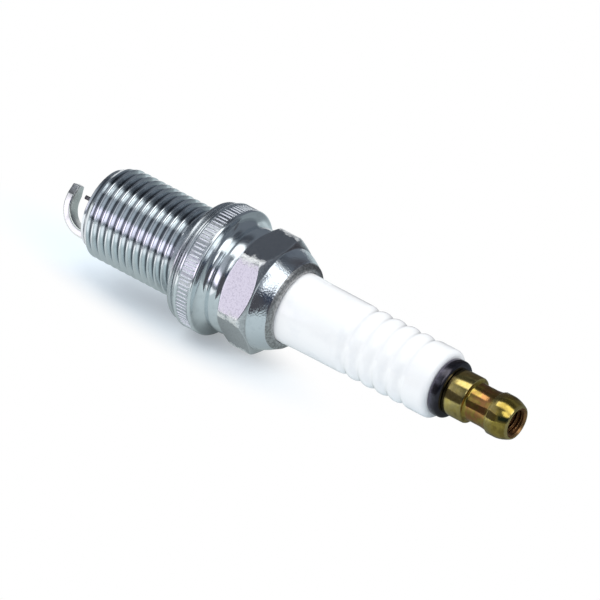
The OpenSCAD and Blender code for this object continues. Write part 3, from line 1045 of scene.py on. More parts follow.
@dataclass
class Shell:
    """The steel shell: thread, flange with ribs, swage, hexagon and crimped lip."""

    pilot_radius: float = 6.1
    pilot_edge: tuple[Point, ...] = ((0.0, -0.25), (0.08, -0.06), (0.25, 0.0))
    mouth: tuple[Point, ...] = ((0.15, 0.0), (0.04, 0.05), (0.0, 0.15))
    lead_start: float = 0.5
    lead_slopes: Point = (0.72, 0.95)
    root_radius: float = 6.25
    crest_radius: float = 6.95
    pitch: float = 1.25
    near_crest: float = -15.25
    near_angle: float = math.radians(139.7)
    relief_radius: float = 6.15
    relief_fillet: tuple[Point, ...] = ((-0.1, 0.0), (-0.03, 0.03), (0.0, 0.1))
    thread_end: float = -0.85
    edge: float = 0.25
    edge_steps: int = 4
    rim_length: float = 3.0
    back_length: float = 1.2
    back_steps: int = 8
    groove_radius: float = 7.8
    groove_length: float = 0.25
    swage_height: float = 0.3
    swage_length: float = 2.15
    swage_fullness: float = 0.8
    swage_steps: int = 12
    half_flats: float = 7.9375
    corner_radius: float = 8.95
    corner_soft: float = 0.035
    corner_ripple: float = 0.02
    corner_waves: tuple[int, int, int] = (21, 11, 8)
    hex_length: float = 5.0
    hex_face_radius: float = 7.8375
    hex_bevel: float = math.tan(math.radians(35.0))
    hex_soft: float = 0.05
    hex_stops: tuple[float, ...] = (0.03, 0.07, 0.13, 0.25, 0.5, 0.75, 0.87, 0.93, 0.97)
    face_edge: Point = (0.03, 0.06)
    crimp_length: float = 2.45
    crimp_radius: float = 6.6
    crimp_step: float = 0.1
    crimp_gap: float = 0.02
    crimp_curve: float = 1.35
    crimp_ripple: float = 0.02
    crimp_waves: tuple[int, int] = (5, 5)
    crimp_steps: int = 8
    lip_radius: float = 5.43
    lip_room: float = 0.06
    lip_rough: float = 0.03
    lip_spread: float = 0.5
    lip_waves: tuple[int, int, int] = (9, 23, 9)
    lip_groove: float = 0.04
    lip_grooves: float = 5.0
    lip_rise: float = 1.15
    lip_fall: float = 0.85
    lip_steps: int = 9
    lip_inside: Point = (-0.3, 0.02)
    bore: tuple[Point, ...] = (
        (14.8, 6.15), (4.6, 6.15), (3.15, 4.7), (-4.45, 4.7), (-5.25, 3.9), (-6.45, 3.9), (-6.7, 4.15)
    )
    rib_count: int = 92
    rib_length: float = 1.95
    rib_width: float = 0.34
    rib_height: float = 0.13
    rib_seed: int = 31
    rib_sharp: float = 50.0
    rib_stray: float = 0.12
    rib_shift: float = 0.05
    rib_lengths: Point = (0.9, 1.06)
    rib_heights: Point = (0.75, 1.0)
    rib_section: tuple[Point, ...] = (
        (-1.0, -0.5), (-1.0, 0.1), (-0.62, 0.8), (0.0, 1.0),
        (0.62, 0.8), (1.0, 0.1), (1.0, -0.5), (-1.0, -0.5),
    )
    rib_end: tuple[Point, ...] = ((-1.0, 0.0), (-1.0, 0.45), (-0.9, 0.85), (-0.75, 1.0))
    recess_foot: float = 0.02
    recess_edge: float = 0.12
    corner_angles: tuple[float, ...] = (0.0, 0.83, 1.65, 2.48, 3.1, 4.2)
    flat_angles: Point = (6.0, 2.0)
    sector: float = 60.0
    sharp: float = 40.0
    angles: np.ndarray = field(init=False)

    def __post_init__(self) -> None:
        """Reads the ends from the frame and works out the angles, closest at the hexagon's corners."""
        self.front, self.back = span("shell")
        self.seat = span("crush_gasket")[1]
        self.flange_radius = girth("shell")
        first, step = self.flat_angles
        half = [*self.corner_angles, *np.arange(first, self.sector / 2.0 + step / 2.0, step)]
        sector = half[:-1] + [self.sector - a for a in reversed(half[1:])]
        whole = 4.0 * QUARTER
        turn = [start + a for start in np.arange(0.0, whole, self.sector) for a in sector]
        self.angles = np.radians(np.array([*turn, whole]))
        self.rim_end = self.seat + self.rim_length
        self.groove_start = self.rim_end + self.back_length
        self.swage_start = self.groove_start + self.groove_length
        self.hex_start = self.swage_start + self.swage_length
        self.hex_end = self.hex_start + self.hex_length

    def hex_radius(self) -> np.ndarray:
        """Works out the hexagon, its corners turned off to a round.

        Returns:
            Its radius at each angle.
        """
        within = np.mod(np.degrees(self.angles), self.sector) - self.sector / 2.0
        flat = self.half_flats / np.cos(np.radians(within))
        corner = self.corner_radius + self.corner_ripple * wobble(self.angles, *self.corner_waves)
        soft = self.corner_soft
        return -soft * np.log(np.exp(-flat / soft) + np.exp(-corner / soft))

    def add_front(self, skin: Skin) -> None:
        """Adds the bare end, the thread and the relief.

        Args:
            skin: what is added to.
        """
        start = self.front + self.lead_start
        skin.rings(shifted(self.front, self.bore[-1][1], *self.mouth))
        skin.rings(shifted(self.front, self.pilot_radius, *self.pilot_edge, (self.lead_start, 0.0)))
        phase = self.near_crest - self.pitch * self.near_angle / FULL_TURN
        thread = HelixThread(self.pitch, self.root_radius, self.crest_radius, phase)
        radii = (self.pilot_radius, self.relief_radius)
        thread.cut(skin, (start, self.thread_end), radii, self.lead_slopes, ShellZone.THREAD)
        skin.ring(self.thread_end, self.relief_radius)
        skin.rings(shifted(self.seat, self.relief_radius, *self.relief_fillet))

    def add_flange(self, skin: Skin) -> None:
        """Adds the flange with the recess for its ribs, its hollow back, the groove and the swage.

        Args:
            skin: what is added to.
        """
        round_edge = (self.edge, self.edge)
        inner = self.flange_radius - self.edge
        middle = self.seat + self.rim_length / 2.0
        foot = self.rib_length / 2.0 + self.recess_foot
        brink = self.rib_length / 2.0 + self.recess_edge
        deep = self.flange_radius - self.rib_height
        skin.rings(arc((self.seat + self.edge, inner), round_edge, -QUARTER, 0.0, self.edge_steps))
        skin.ring(middle - brink, self.flange_radius)
        # The recess between the ribs gets a darker finish, which is painted shade.
        skin.ring(middle - foot, deep, ShellZone.SHADED_RECESS)
        skin.rings([(middle + foot, deep), (middle + brink, self.flange_radius)])
        skin.rings(arc((self.rim_end - self.edge, inner), round_edge, 0.0, QUARTER, self.edge_steps))
        hollow = (self.back_length, inner - self.groove_radius)
        skin.rings(arc((self.groove_start, inner), hollow, -QUARTER, -2.0 * QUARTER, self.back_steps)[1:])
        skin.ring(self.swage_start, self.groove_radius)
        for step in range(1, self.swage_steps):
            t = step / self.swage_steps
            bulge = self.swage_height * math.sin(math.pi * t) ** self.swage_fullness
            skin.ring(self.swage_start + self.swage_length * t, self.groove_radius + bulge)

    def add_hexagon(self, skin: Skin) -> None:
        """Adds the hexagon with both its turned bevels.

        Args:
            skin: what is added to.
        """
        flat = self.hex_radius()
        reach = (flat - self.hex_face_radius) * self.hex_bevel
        on, down = self.face_edge
        soft = self.hex_soft
        low = self.hex_start + on + reach
        high = self.hex_end - on - reach
        skin.rings(
            [(self.hex_start, self.hex_face_radius - down), (self.hex_start + on, self.hex_face_radius)],
            ShellZone.HEXAGON,
        )
        skin.ring(low - soft * self.hex_bevel, flat - soft, ShellZone.HEXAGON)
        skin.ring(low + soft, flat, ShellZone.HEXAGON)
        for t in self.hex_stops:
            skin.ring(low + (high - low) * t, flat, ShellZone.HEXAGON)
        skin.ring(high - soft, flat, ShellZone.HEXAGON)
        skin.ring(high + soft * self.hex_bevel, flat - soft, ShellZone.HEXAGON)
        skin.rings([(self.hex_end - on, self.hex_face_radius), (self.hex_end, self.hex_face_radius - down)])

    def add_crimp(self, skin: Skin) -> None:
        """Adds the crimp's slope, its rough lip and the bores, down to the bare end.

        Args:
            skin: what is added to.
        """
        start = self.hex_face_radius - self.crimp_step
        length = self.crimp_length - self.crimp_gap
        ripple = wobble(self.angles, *self.crimp_waves)
        fine = wobble(self.angles, *self.lip_waves)
        for t in np.linspace(0.0, 1.0, self.crimp_steps + 1):
            slope = start + (self.crimp_radius - start) * t ** self.crimp_curve
            skin.ring(
                self.hex_end + self.crimp_gap + length * t,
                slope + self.crimp_ripple * ripple * t,
                ShellZone.CRIMP if t < 1.0 else ShellZone.LIP,
            )
        top = self.hex_end + self.crimp_length
        rise = self.back - top - self.lip_room
        fall = self.crimp_radius - self.lip_radius
        for a in np.radians(np.linspace(0.0, QUARTER, self.lip_steps + 1))[1:]:
            rough = self.lip_rough * (ripple + fine) * math.sin(a)
            groove = self.lip_groove * math.sin(self.lip_grooves * a) ** 2
            skin.ring(
                np.minimum(top + rise * math.sin(a) ** self.lip_rise + rough - groove, self.back),
                self.lip_radius + fall * math.cos(a) ** self.lip_fall + self.lip_spread * rough,
                ShellZone.LIP,
            )
        skin.rings([*shifted(top + rise, self.lip_radius, self.lip_inside), *self.bore], ShellZone.BORE)

    def ribs(self) -> Piece:
        """Builds the fine axial ribs round the flange's rim as one mesh of closed bars.

        Returns:
            The object with all the ribs.
        """
        dice = np.random.default_rng(self.rib_seed)
        middle = self.seat + self.rim_length / 2.0
        stations = [*self.rib_end, *((-place, size) for place, size in reversed(self.rib_end))]
        place, size = np.array(stations).T[:, :, None]
        across, up = np.array(self.rib_section).T[:, None, :]
        grids = []
        for number in range(self.rib_count):
            angle = FULL_TURN * (number + self.rib_stray * dice.uniform(-1.0, 1.0)) / self.rib_count
            half = self.rib_length / 2.0 * dice.uniform(*self.rib_lengths)
            shift = self.rib_shift * dice.uniform(-1.0, 1.0)
            tall = self.rib_height * dice.uniform(*self.rib_heights)
            turn = angle + across * size * self.rib_width / 2.0 / self.flange_radius
            lift = self.flange_radius - self.rib_height + tall * up * size
            x = np.broadcast_to(middle + shift + half * place, turn.shape)
            grids.append(np.stack([x, lift * np.cos(turn), lift * np.sin(turn)], axis=2))
        return join_grids("flange_ribs", grids, [[0] * len(stations)] * len(grids), self.rib_sharp)

    def build(self) -> None:
        """Builds and dresses the shell and its ribs."""
        skin = Skin(self.angles)
        self.add_front(skin)
        self.add_flange(skin)
        self.add_hexagon(skin)
        self.add_crimp(skin)
        skin.closed()
        shell = skin.piece("shell_skin", self.sharp)
        dress(shell, Slot.PLATED, PLATED, PLATED_THREAD, PLATED_HEX, CRIMP_LIP, BORE, SHADED_RECESS, CRIMP)
        stand_for(shell, Body.PLUG, "shell")
        ribs = self.ribs()
        dress(ribs, Slot.PLATED, RIB)
        stand_for(ribs, Body.PLUG)


@dataclass
class Gasket:
    """The crush gasket: sheet steel folded to two rolls with a crease between them."""

    hole_radius: float = 6.23
    front_edge: tuple[Point, ...] = ((0.25, 0.0), (0.06, 0.06), (0.02, 0.3))
    back_edge: tuple[Point, ...] = ((-0.01, 0.3), (-0.06, 0.06), (-0.25, 0.0))
    crease_depth: float = 0.8
    crease_width: float = 0.1
    tuck: float = 60.0
    squash: float = 0.985
    ripple: float = 0.018
    ripple_seed: int = 12
    front_sway: float = 0.6
    back_sway: float = -0.3
    roll_steps: int = 10
    sides: int = 160
    sharp: float = 45.0

    def __post_init__(self) -> None:
        """Reads the gasket's ends and size from the frame."""
        self.front, self.back = span("crush_gasket")
        self.outer = girth("crush_gasket")
        self.half_roll = (self.back - self.front - self.crease_width) / 4.0

    def roll(self, skin: Skin, centre: float, turn: Point, sway: float) -> None:
        """Adds one roll of the fold.

        Args:
            skin: what is added to.
            centre: the roll's middle along the axis, in mm.
            turn: its first and last angle in degrees, 0 for straight out.
            sway: how far its ripple moves it along the axis, for each unit that it moves it out.
        """
        ripple = self.ripple * wobble(skin.angles, self.ripple_seed)
        half = self.half_roll
        for a in np.radians(np.linspace(*turn, self.roll_steps + 1)):
            skin.ring(
                centre + self.squash * half * math.sin(a) + ripple * sway * math.cos(a),
                np.minimum(self.outer - half + (half + ripple) * math.cos(a), self.outer),
            )

    def build(self) -> None:
        """Builds and dresses the gasket."""
        skin = Skin(even_turn(self.sides))
        middle = (self.front + self.back) / 2.0
        half_crease = self.crease_width / 2.0
        skin.rings(shifted(self.front, self.hole_radius, *self.front_edge))
        self.roll(skin, self.front + self.half_roll, (-QUARTER, self.tuck), self.front_sway)
        crease = ((-half_crease, -self.crease_depth), (half_crease, -self.crease_depth))
        skin.rings(shifted(middle, self.outer, *crease))
        self.roll(skin, self.back - self.half_roll, (-self.tuck, QUARTER), self.back_sway)
        skin.rings(shifted(self.back, self.hole_radius, *self.back_edge))
        skin.closed()
        gasket = skin.piece("gasket_fold", self.sharp)
        dress(gasket, Slot.GASKET, GASKET)
        stand_for(gasket, Body.GASKET, "crush_gasket")


@dataclass
class Insulator:
    """The glazed alumina insulator with its five shallow grooves."""

    step: tuple[Point, ...] = ((-4.4, 4.6), (3.1, 4.6), (3.9, 5.2))
    barrel_radius: float = 5.35
    barrel_start: float = 4.2
    barrel_end: float = 16.7
    barrel_edge: Point = (0.6, -0.03)
    rib_radius: float = 5.2
    taper: tuple[Point, ...] = ((2.0, 0.05), (5.3, 0.02))
    first_groove: float = 27.8
    groove_pitch: float = 2.45
    groove_count: int = 5
    groove_width: float = 2.2
    groove_depth: float = 0.35
    groove_steps: int = 12
    groove_margin: float = 0.2
    end_round: float = 0.9
    end_margin: float = 0.6
    end_steps: int = 8
    nose_tip_radius: float = 2.3
    nose_round: float = 0.45
    nose_steps: int = 5
    nose_root_radius: float = 3.74
    nose_root: float = -6.45
    nose_seat: float = -5.2
    electrode_bore: float = 1.3
    electrode_edge: tuple[Point, ...] = ((0.2, 0.0), (0.0, 0.15))
    stud_bore: float = 1.95
    stud_edge: tuple[Point, ...] = ((0.0, 0.2), (-0.2, 0.0))
    head_seat: float = -1.45
    head_cone: float = -1.9
    sides: int = 128
    sharp: float = 40.0

    def outside(self, end: float) -> list[Point]:
        """Works out the outline from the step inside the shell to the terminal end.

        Args:
            end: where the terminal end is, in mm.

        Returns:
            Places along the axis with their radii.
        """
        half = self.groove_width / 2.0
        points = [*self.step, (self.barrel_start, self.barrel_radius)]
        points += shifted(self.barrel_end, self.barrel_radius, (0.0, 0.0), self.barrel_edge)
        points += shifted(self.barrel_end, self.rib_radius, *self.taper)
        points.append((self.first_groove - half - self.groove_margin, self.rib_radius))
        for number in range(self.groove_count):
            centre = self.first_groove + number * self.groove_pitch
            for t in np.linspace(-1.0, 1.0, self.groove_steps + 1):
                dip = self.groove_depth * 0.5 * (1.0 + math.cos(math.pi * t))
                points.append((centre + t * half, self.rib_radius - dip))
        start = end - self.end_round
        points.append((start - self.end_margin, self.rib_radius))
        rounding = (self.end_round, self.end_round)
        middle = (start, self.rib_radius - self.end_round)
        return points + arc(middle, rounding, 0.0, QUARTER, self.end_steps)

    def build(self) -> None:
        """Builds and dresses the insulator."""
        nose, end = span("insulator")
        head = span("centre_electrode")[1]
        skin = Skin(even_turn(self.sides))
        skin.rings(shifted(nose, self.electrode_bore, *self.electrode_edge))
        tip = (nose + self.nose_round, self.nose_tip_radius - self.nose_round)
        skin.rings(arc(tip, (self.nose_round, self.nose_round), -QUARTER, 0.0, self.nose_steps))
        skin.rings([(self.nose_root, self.nose_root_radius), (self.nose_seat, self.nose_root_radius)])
        skin.rings(self.outside(end))
        skin.rings(shifted(end, self.stud_bore, *self.stud_edge))
        skin.ring(head + self.head_seat, self.stud_bore)
        skin.ring(head + self.head_cone, self.electrode_bore)
        skin.closed()
        body = skin.piece("insulator_glazed", self.sharp)
        dress(body, Slot.GLAZED, WHITE)
        stand_for(body, Body.PLUG, "insulator")


@dataclass
class Terminal:
    """The stud with its collar, and the push-on nut screwed on it."""

    shank_radius: float = 1.85
    shank_edge: float = 0.15
    shank_fillet: float = 0.06
    collar_gap: float = 0.02
    collar_length: float = 1.7
    collar_round: float = 0.55
    collar_steps: int = 6
    collar_edge: tuple[Point, ...] = ((0.0, -0.25), (0.07, -0.07), (0.25, 0.0))
    thread_root: float = 1.55
    thread_crest: float = 1.77
    thread_pitch: float = 0.7
    thread_phase: float = 44.2
    thread_flank: float = 0.22
    crest_half: float = 0.06
    thread_foot: tuple[Point, ...] = ((0.0, 0.2), (0.04, 0.0))
    thread_gap: float = 0.05
    thread_end: float = 0.1
    thread_slope: float = 0.8
    nut_crest: float = 1.84
    nut_root: float = 2.06
    nut_slope: float = 9.0
    hole_foot: tuple[Point, ...] = ((0.35, 0.0), (0.0, 0.3))
    hole_mouth: tuple[Point, ...] = ((0.0, 0.22), (-0.3, 0.0))
    base_length: float = 3.3
    waist_radius: float = 2.8
    waist_start: float = 47.6
    waist_hollow: float = 0.33
    waist_steps: int = 6
    waist_end: float = 49.52
    flare_end: float = 51.12
    flare_radius: float = 3.0
    flare_steps: int = 8
    head_radius: float = 3.175
    head_length: float = 1.6
    head_edge: tuple[Point, ...] = ((0.06, -0.06), (0.18, 0.0))
    nose_start: float = 0.25
    nose_end: float = 0.2
    nose_curve: float = 1.7
    nose_steps: int = 12
    end_radius: float = 2.6
    end_edge: tuple[Point, ...] = ((-0.05, -0.1), (0.0, -0.25))
    edge: tuple[Point, ...] = ((0.0, -0.22), (0.07, -0.06), (0.22, 0.0))
    back_edge: tuple[Point, ...] = ((-0.22, 0.0), (-0.06, -0.06), (0.0, -0.22))
    stud_sides: int = 96
    nut_sides: int = 112
    sharp: float = 38.0

    def thread(self, root: float, crest: float) -> HelixThread:
        """Returns the terminal's thread between two radii."""
        shape = (self.thread_phase, self.thread_flank, self.crest_half)
        return HelixThread(self.thread_pitch, root, crest, *shape)

    def build_stud(self) -> None:
        """Builds and dresses the stud."""
        start, end = span("terminal_stud")
        collar = span("insulator")[1] + self.collar_gap
        radius = girth("terminal_stud")
        top = collar + self.collar_length
        rounding = (self.collar_round, self.collar_round)
        skin = Skin(even_turn(self.stud_sides))
        skin.ring(start, 0.0)
        skin.rings(shifted(start, self.shank_radius, (0.0, -self.shank_edge), (self.shank_edge, 0.0)))
        skin.rings(shifted(collar, self.shank_radius, (-self.shank_fillet, 0.0), (0.0, self.shank_fillet)))
        skin.rings(shifted(collar, radius, *self.collar_edge))
        middle = (top - self.collar_round, radius - self.collar_round)
        skin.rings(arc(middle, rounding, 0.0, QUARTER, self.collar_steps))
        skin.rings(shifted(top, self.thread_root, *self.thread_foot))
        self.thread(self.thread_root, self.thread_crest).cut(
            skin,
            (top + self.thread_gap, end - self.thread_end),
            (self.thread_root, self.thread_root),
            (self.thread_slope, self.thread_slope),
        )
        skin.rings([(end, self.thread_root - self.thread_end), (end, 0.0)])
        stud = skin.piece("stud_turned", self.sharp)
        dress(stud, Slot.BLACK, BLACKENED)
        stand_for(stud, Body.PLUG, "terminal_stud")

    def nut_outline(self, start: float, end: float) -> list[Point]:
        """Works out the nut's outline from its foot to its small end.

        Args:
            start: where the foot is, in mm.
            end: where the small end is.

        Returns:
            Places along the axis with their radii.
        """
        base = girth("terminal_nut")
        points = shifted(start, base, *self.edge)
        points += shifted(start + self.base_length, base, *self.back_edge)
        brink = points[-1][1]
        hollow = (self.waist_hollow, brink - self.waist_radius)
        points += arc((self.waist_start, brink), hollow, -QUARTER, -2.0 * QUARTER, self.waist_steps)[1:]
        for t in np.linspace(0.0, 1.0, self.flare_steps + 1)[1:]:
            out = self.waist_radius + (self.flare_radius - self.waist_radius) * t * t
            points.append((self.waist_end + (self.flare_end - self.waist_end) * t, out))
        points += shifted(self.flare_end, self.head_radius, *self.head_edge)
        nose = self.flare_end + self.head_length - self.nose_start
        for t in np.linspace(0.0, 1.0, self.nose_steps + 1):
            fall = (self.head_radius - self.end_radius) * t ** self.nose_curve
            points.append((nose + (end - self.nose_end - nose) * t, self.head_radius - fall))
        return points + shifted(end, self.end_radius, *self.end_edge)

    def build_nut(self) -> None:
        """Builds and dresses the nut with its tapped hole."""
        start, end = span("terminal_nut")
        foot = shifted(start, self.nut_root, *self.hole_foot)
        mouth = shifted(end, self.nut_root, *self.hole_mouth)
        skin = Skin(even_turn(self.nut_sides))
        skin.rings(foot, NutZone.HOLE)
        skin.rings(self.nut_outline(start, end), NutZone.OUTSIDE)
        skin.rings(mouth, NutZone.HOLE)
        tapped = Skin(skin.angles)
        self.thread(self.nut_root, self.nut_crest).cut(
            tapped,
            (foot[0][0], mouth[-1][0]),
            (self.nut_root, self.nut_root),
            (self.nut_slope, self.nut_slope),
            NutZone.HOLE,
        )
        skin.line(tapped)
        skin.closed()
        nut = skin.piece("nut_turned", self.sharp)
        dress(nut, Slot.BRASS, BRASS, BRASS_HOLE)
        stand_for(nut, Body.NUT, "terminal_nut")

    def build(self) -> None:
        """Builds both pieces."""
        self.build_stud()
        self.build_nut()


@dataclass
class GroundElectrode:
    """The bent strap over the firing tip, trimmed narrower at its end, and the weld bead at its foot."""

    thick: float = 1.2
    wide: float = 2.5
    corner: float = 0.25
    corner_points: int = 5
    inner_face: float = 4.21
    bend: float = 3.2
    bend_sections: int = 17
    past_axis: float = 1.1
    trim_width: float = 0.5
    trim_length: float = 1.5
    trim_rows: int = 5
    edge: float = 0.06
    turn: float = math.radians(58.0)
    bead_radius: float = 0.24
    bead_stations: int = 61
    bead_sides: int = 14
    bead_ripples: int = 17
    bead_ripple: float = 0.1
    bead_wobble: float = 0.08
    bead_seed: int = 17
    bead_sharp: float = 50.0
    sharp: float = 40.0

    def __post_init__(self) -> None:
        """Reads the strap's ends from the frame."""
        outer, self.foot = span("ground_electrode")
        self.arm = outer + self.thick
        self.middle = -(self.inner_face + self.thick / 2.0)

    def section(self, half_wide: float, half_thick: float) -> list[Point]:
        """Works out a section of the strap with round corners.

        Args:
            half_wide: half its width, in mm.
            half_thick: half its thickness.

        Returns:
            The section's points, across the strap and out from it, with the first one again at the end.
        """
        points = []
        rounding = (self.corner, self.corner)
        for quarter, (side, face) in enumerate(((1.0, 1.0), (-1.0, 1.0), (-1.0, -1.0), (1.0, -1.0))):
            middle = (side * (half_wide - self.corner), face * (half_thick - self.corner))
            start = QUARTER * (1.0 - quarter)
            points += arc(middle, rounding, start, start - QUARTER, self.corner_points - 1)
        return points + points[:1]

    def turned(self, x: float, side: float, across: float) -> Triple:
        """Returns a point of the strap, turned about the plug's axis to the strap's place."""
        cos, sin = math.cos(self.turn), math.sin(self.turn)
        return x, side * cos - across * sin, side * sin + across * cos

    def ring(self, x: float, y: float, heading: float, trim: float = 0.0, shrink: float = 0.0) -> np.ndarray:
        """Places one section of the strap.

        Args:
            x: the section's middle along the axis, in mm.
            y: its middle across the axis, before the strap is turned.
            heading: the way the strap runs there in radians, 0 for away from the shell.
            trim: how much is cut from each side, in mm.
            shrink: how much is taken off all round, in mm.

        Returns:
            The section's points.
        """
        points = []
        for across, out in self.section(self.wide / 2.0 - trim - shrink, self.thick / 2.0 - shrink):
            points.append(self.turned(x - out * math.sin(heading), y - out * math.cos(heading), across))
        return np.array(points)

    def rings(self) -> list[np.ndarray]:
        """Places the strap's sections from its foot to its end.

        Returns:
            The points of each section in turn.
        """
        centre_x, centre_y = self.arm + self.bend, self.bend - self.inner_face
        around = self.bend + self.thick / 2.0
        quarter = math.radians(QUARTER)
        made = [self.ring(x, self.middle, 0.0) for x in (self.foot, (self.foot + centre_x) / 2.0)]
        for a in np.linspace(0.0, quarter, self.bend_sections):
            made.append(self.ring(centre_x - around * math.sin(a), centre_y - around * math.cos(a), a))
        arm_x = self.arm - self.thick / 2.0
        trim_start = self.past_axis - self.trim_length
        made.append(self.ring(arm_x, trim_start - self.edge, quarter))
        for away in (self.edge, self.trim_length - 2.0 * self.edge, self.trim_length - self.edge):
            trim = self.trim_width * away / self.trim_length
            made.append(self.ring(arm_x, trim_start + away, quarter, trim))
        made.append(self.ring(arm_x, self.past_axis, quarter, self.trim_width, self.edge))
        return made

    def strap(self) -> Piece:
        """Builds the strap from its four sides, so that each has its own finish.

        Returns:
            The strap's object.
        """
        grid = capped(self.rings())
        count = len(grid)
        outside = [StrapZone.DRAWN] * count
        inside = [StrapZone.INSIDE] * count
        trimmed = [StrapZone.DRAWN] * (count - self.trim_rows) + [StrapZone.CUT] * self.trim_rows
        zones = (outside, trimmed, inside, trimmed)
        grids = []
        for side in range(len(zones)):
            first = self.corner_points // 2 + self.corner_points * side
            columns = np.arange(first, first + self.corner_points + 1) % (grid.shape[1] - 1)
            grids.append(grid[:, columns])
        return join_grids("strap_bent", grids, zones, self.sharp)

    def bead(self) -> Piece:
        """Builds the rippled weld along the strap's two sides and round its back.

        Returns:
            The bead's object.
        """
        half = self.wide / 2.0
        start = self.bead_radius - self.thick / 2.0
        outline = self.section(half, self.thick / 2.0)[:2 * self.corner_points]
        path = np.array([(half, start), *outline, (-half, start)])
        steps = np.concatenate([[0.0], np.cumsum(np.linalg.norm(np.diff(path, axis=0), axis=1))])
        places = np.linspace(0.0, steps[-1], self.bead_stations)
        way = np.stack([np.interp(places, steps, path[:, 0]), np.interp(places, steps, path[:, 1])], axis=1)
        run = np.gradient(way, axis=0)
        run /= np.linalg.norm(run, axis=1, keepdims=True)
        phase = np.linspace(0.0, FULL_TURN, self.bead_stations)
        ripple = self.bead_ripple * np.sin(self.bead_ripples * phase)
        ripple += self.bead_wobble * wobble(phase, self.bead_seed)
        rows = []
        for (across, out), (run_across, run_out), radius in zip(way, run, self.bead_radius * (1.0 + ripple)):
            row = []
            for a in even_turn(self.bead_sides):
                away = radius * math.cos(a)
                rise = max(radius * math.sin(a), 0.0)
                side = self.middle - out + away * run_across
                row.append(self.turned(self.foot - rise, side, across + away * run_out))
            rows.append(np.array(row))
        grid = capped(rows)
        return join_grids("foot_bead", [grid], [[0] * len(grid)], self.bead_sharp)

    def build(self) -> None:
        """Builds and dresses the strap and its weld."""
        strap = self.strap()
        dress(strap, Slot.NICKEL, NICKEL, NICKEL_INSIDE_SHADED, NICKEL_CUT_SHADED)
        stand_for(strap, Body.PLUG, "ground_electrode")
        bead = self.bead()
        dress(bead, Slot.BEAD, BEAD)
        stand_for(bead, Body.PLUG, "ground_weld")


@dataclass
class InnerColumn:
    """The sealed pieces inside the plug, whose plain CAD shapes are kept."""

    finishes: tuple[tuple[str, Slot, Finish], ...] = (
        ("centre_electrode", Slot.NICKEL, ROD),
        ("copper_core", Slot.COPPER, COPPER),
        ("tip_weld", Slot.BEAD, BEAD),
        ("firing_tip", Slot.TIP, TIP),
        ("lower_glass_seal", Slot.GLASS, SEAL_GLASS),
        ("resistor_element", Slot.RESISTOR, RESISTOR),
        ("upper_glass_seal", Slot.GLASS, SEAL_GLASS),
        ("seat_washer", Slot.COPPER, COPPER),
        ("lower_packing_ring", Slot.PACKING, PACKING),
        ("talc_seal", Slot.TALC, TALC),
        ("upper_packing_ring", Slot.PACKING, PACKING),
    )

    def build(self) -> None:
        """Dresses each sealed node."""
        for node, slot, finish in self.finishes:
            dress(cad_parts[node], slot, finish)
            log.info("%s keeps its solid, with finish %s", node, finish.name)


@dataclass(frozen=True)
class Panel:
    """A soft-edged bright or dark patch on the studio tent."""

    toward: Triple
    across: Triple
    half_width: float
    half_height: float
    feather: float
    light: Rgb


@dataclass(frozen=True)
class Flag:
    """A dark card beside the terminal, with its sizes in m."""

    name: str
    toward: Triple
    sideways: Triple
    away: float
    half_width: float
    low: float
    high: float


@dataclass(frozen=True)
class Lamp:
    """A square lamp, with its direction from the plug, distance and side in m, and its power."""

    name: str
    toward: Triple
    away: float
    side: float
    watts: float


@dataclass(frozen=True)
class Fade:
    """A smooth change from one value to another over a stretch of the floor, in m."""

    start: float
    end: float
    before: float
    after: float

    def at(self, graph: Graph, place: Socket) -> Socket:
        """Returns the value at a place."""
        return graph.ramp(place, self.start, self.end, self.before, self.after)


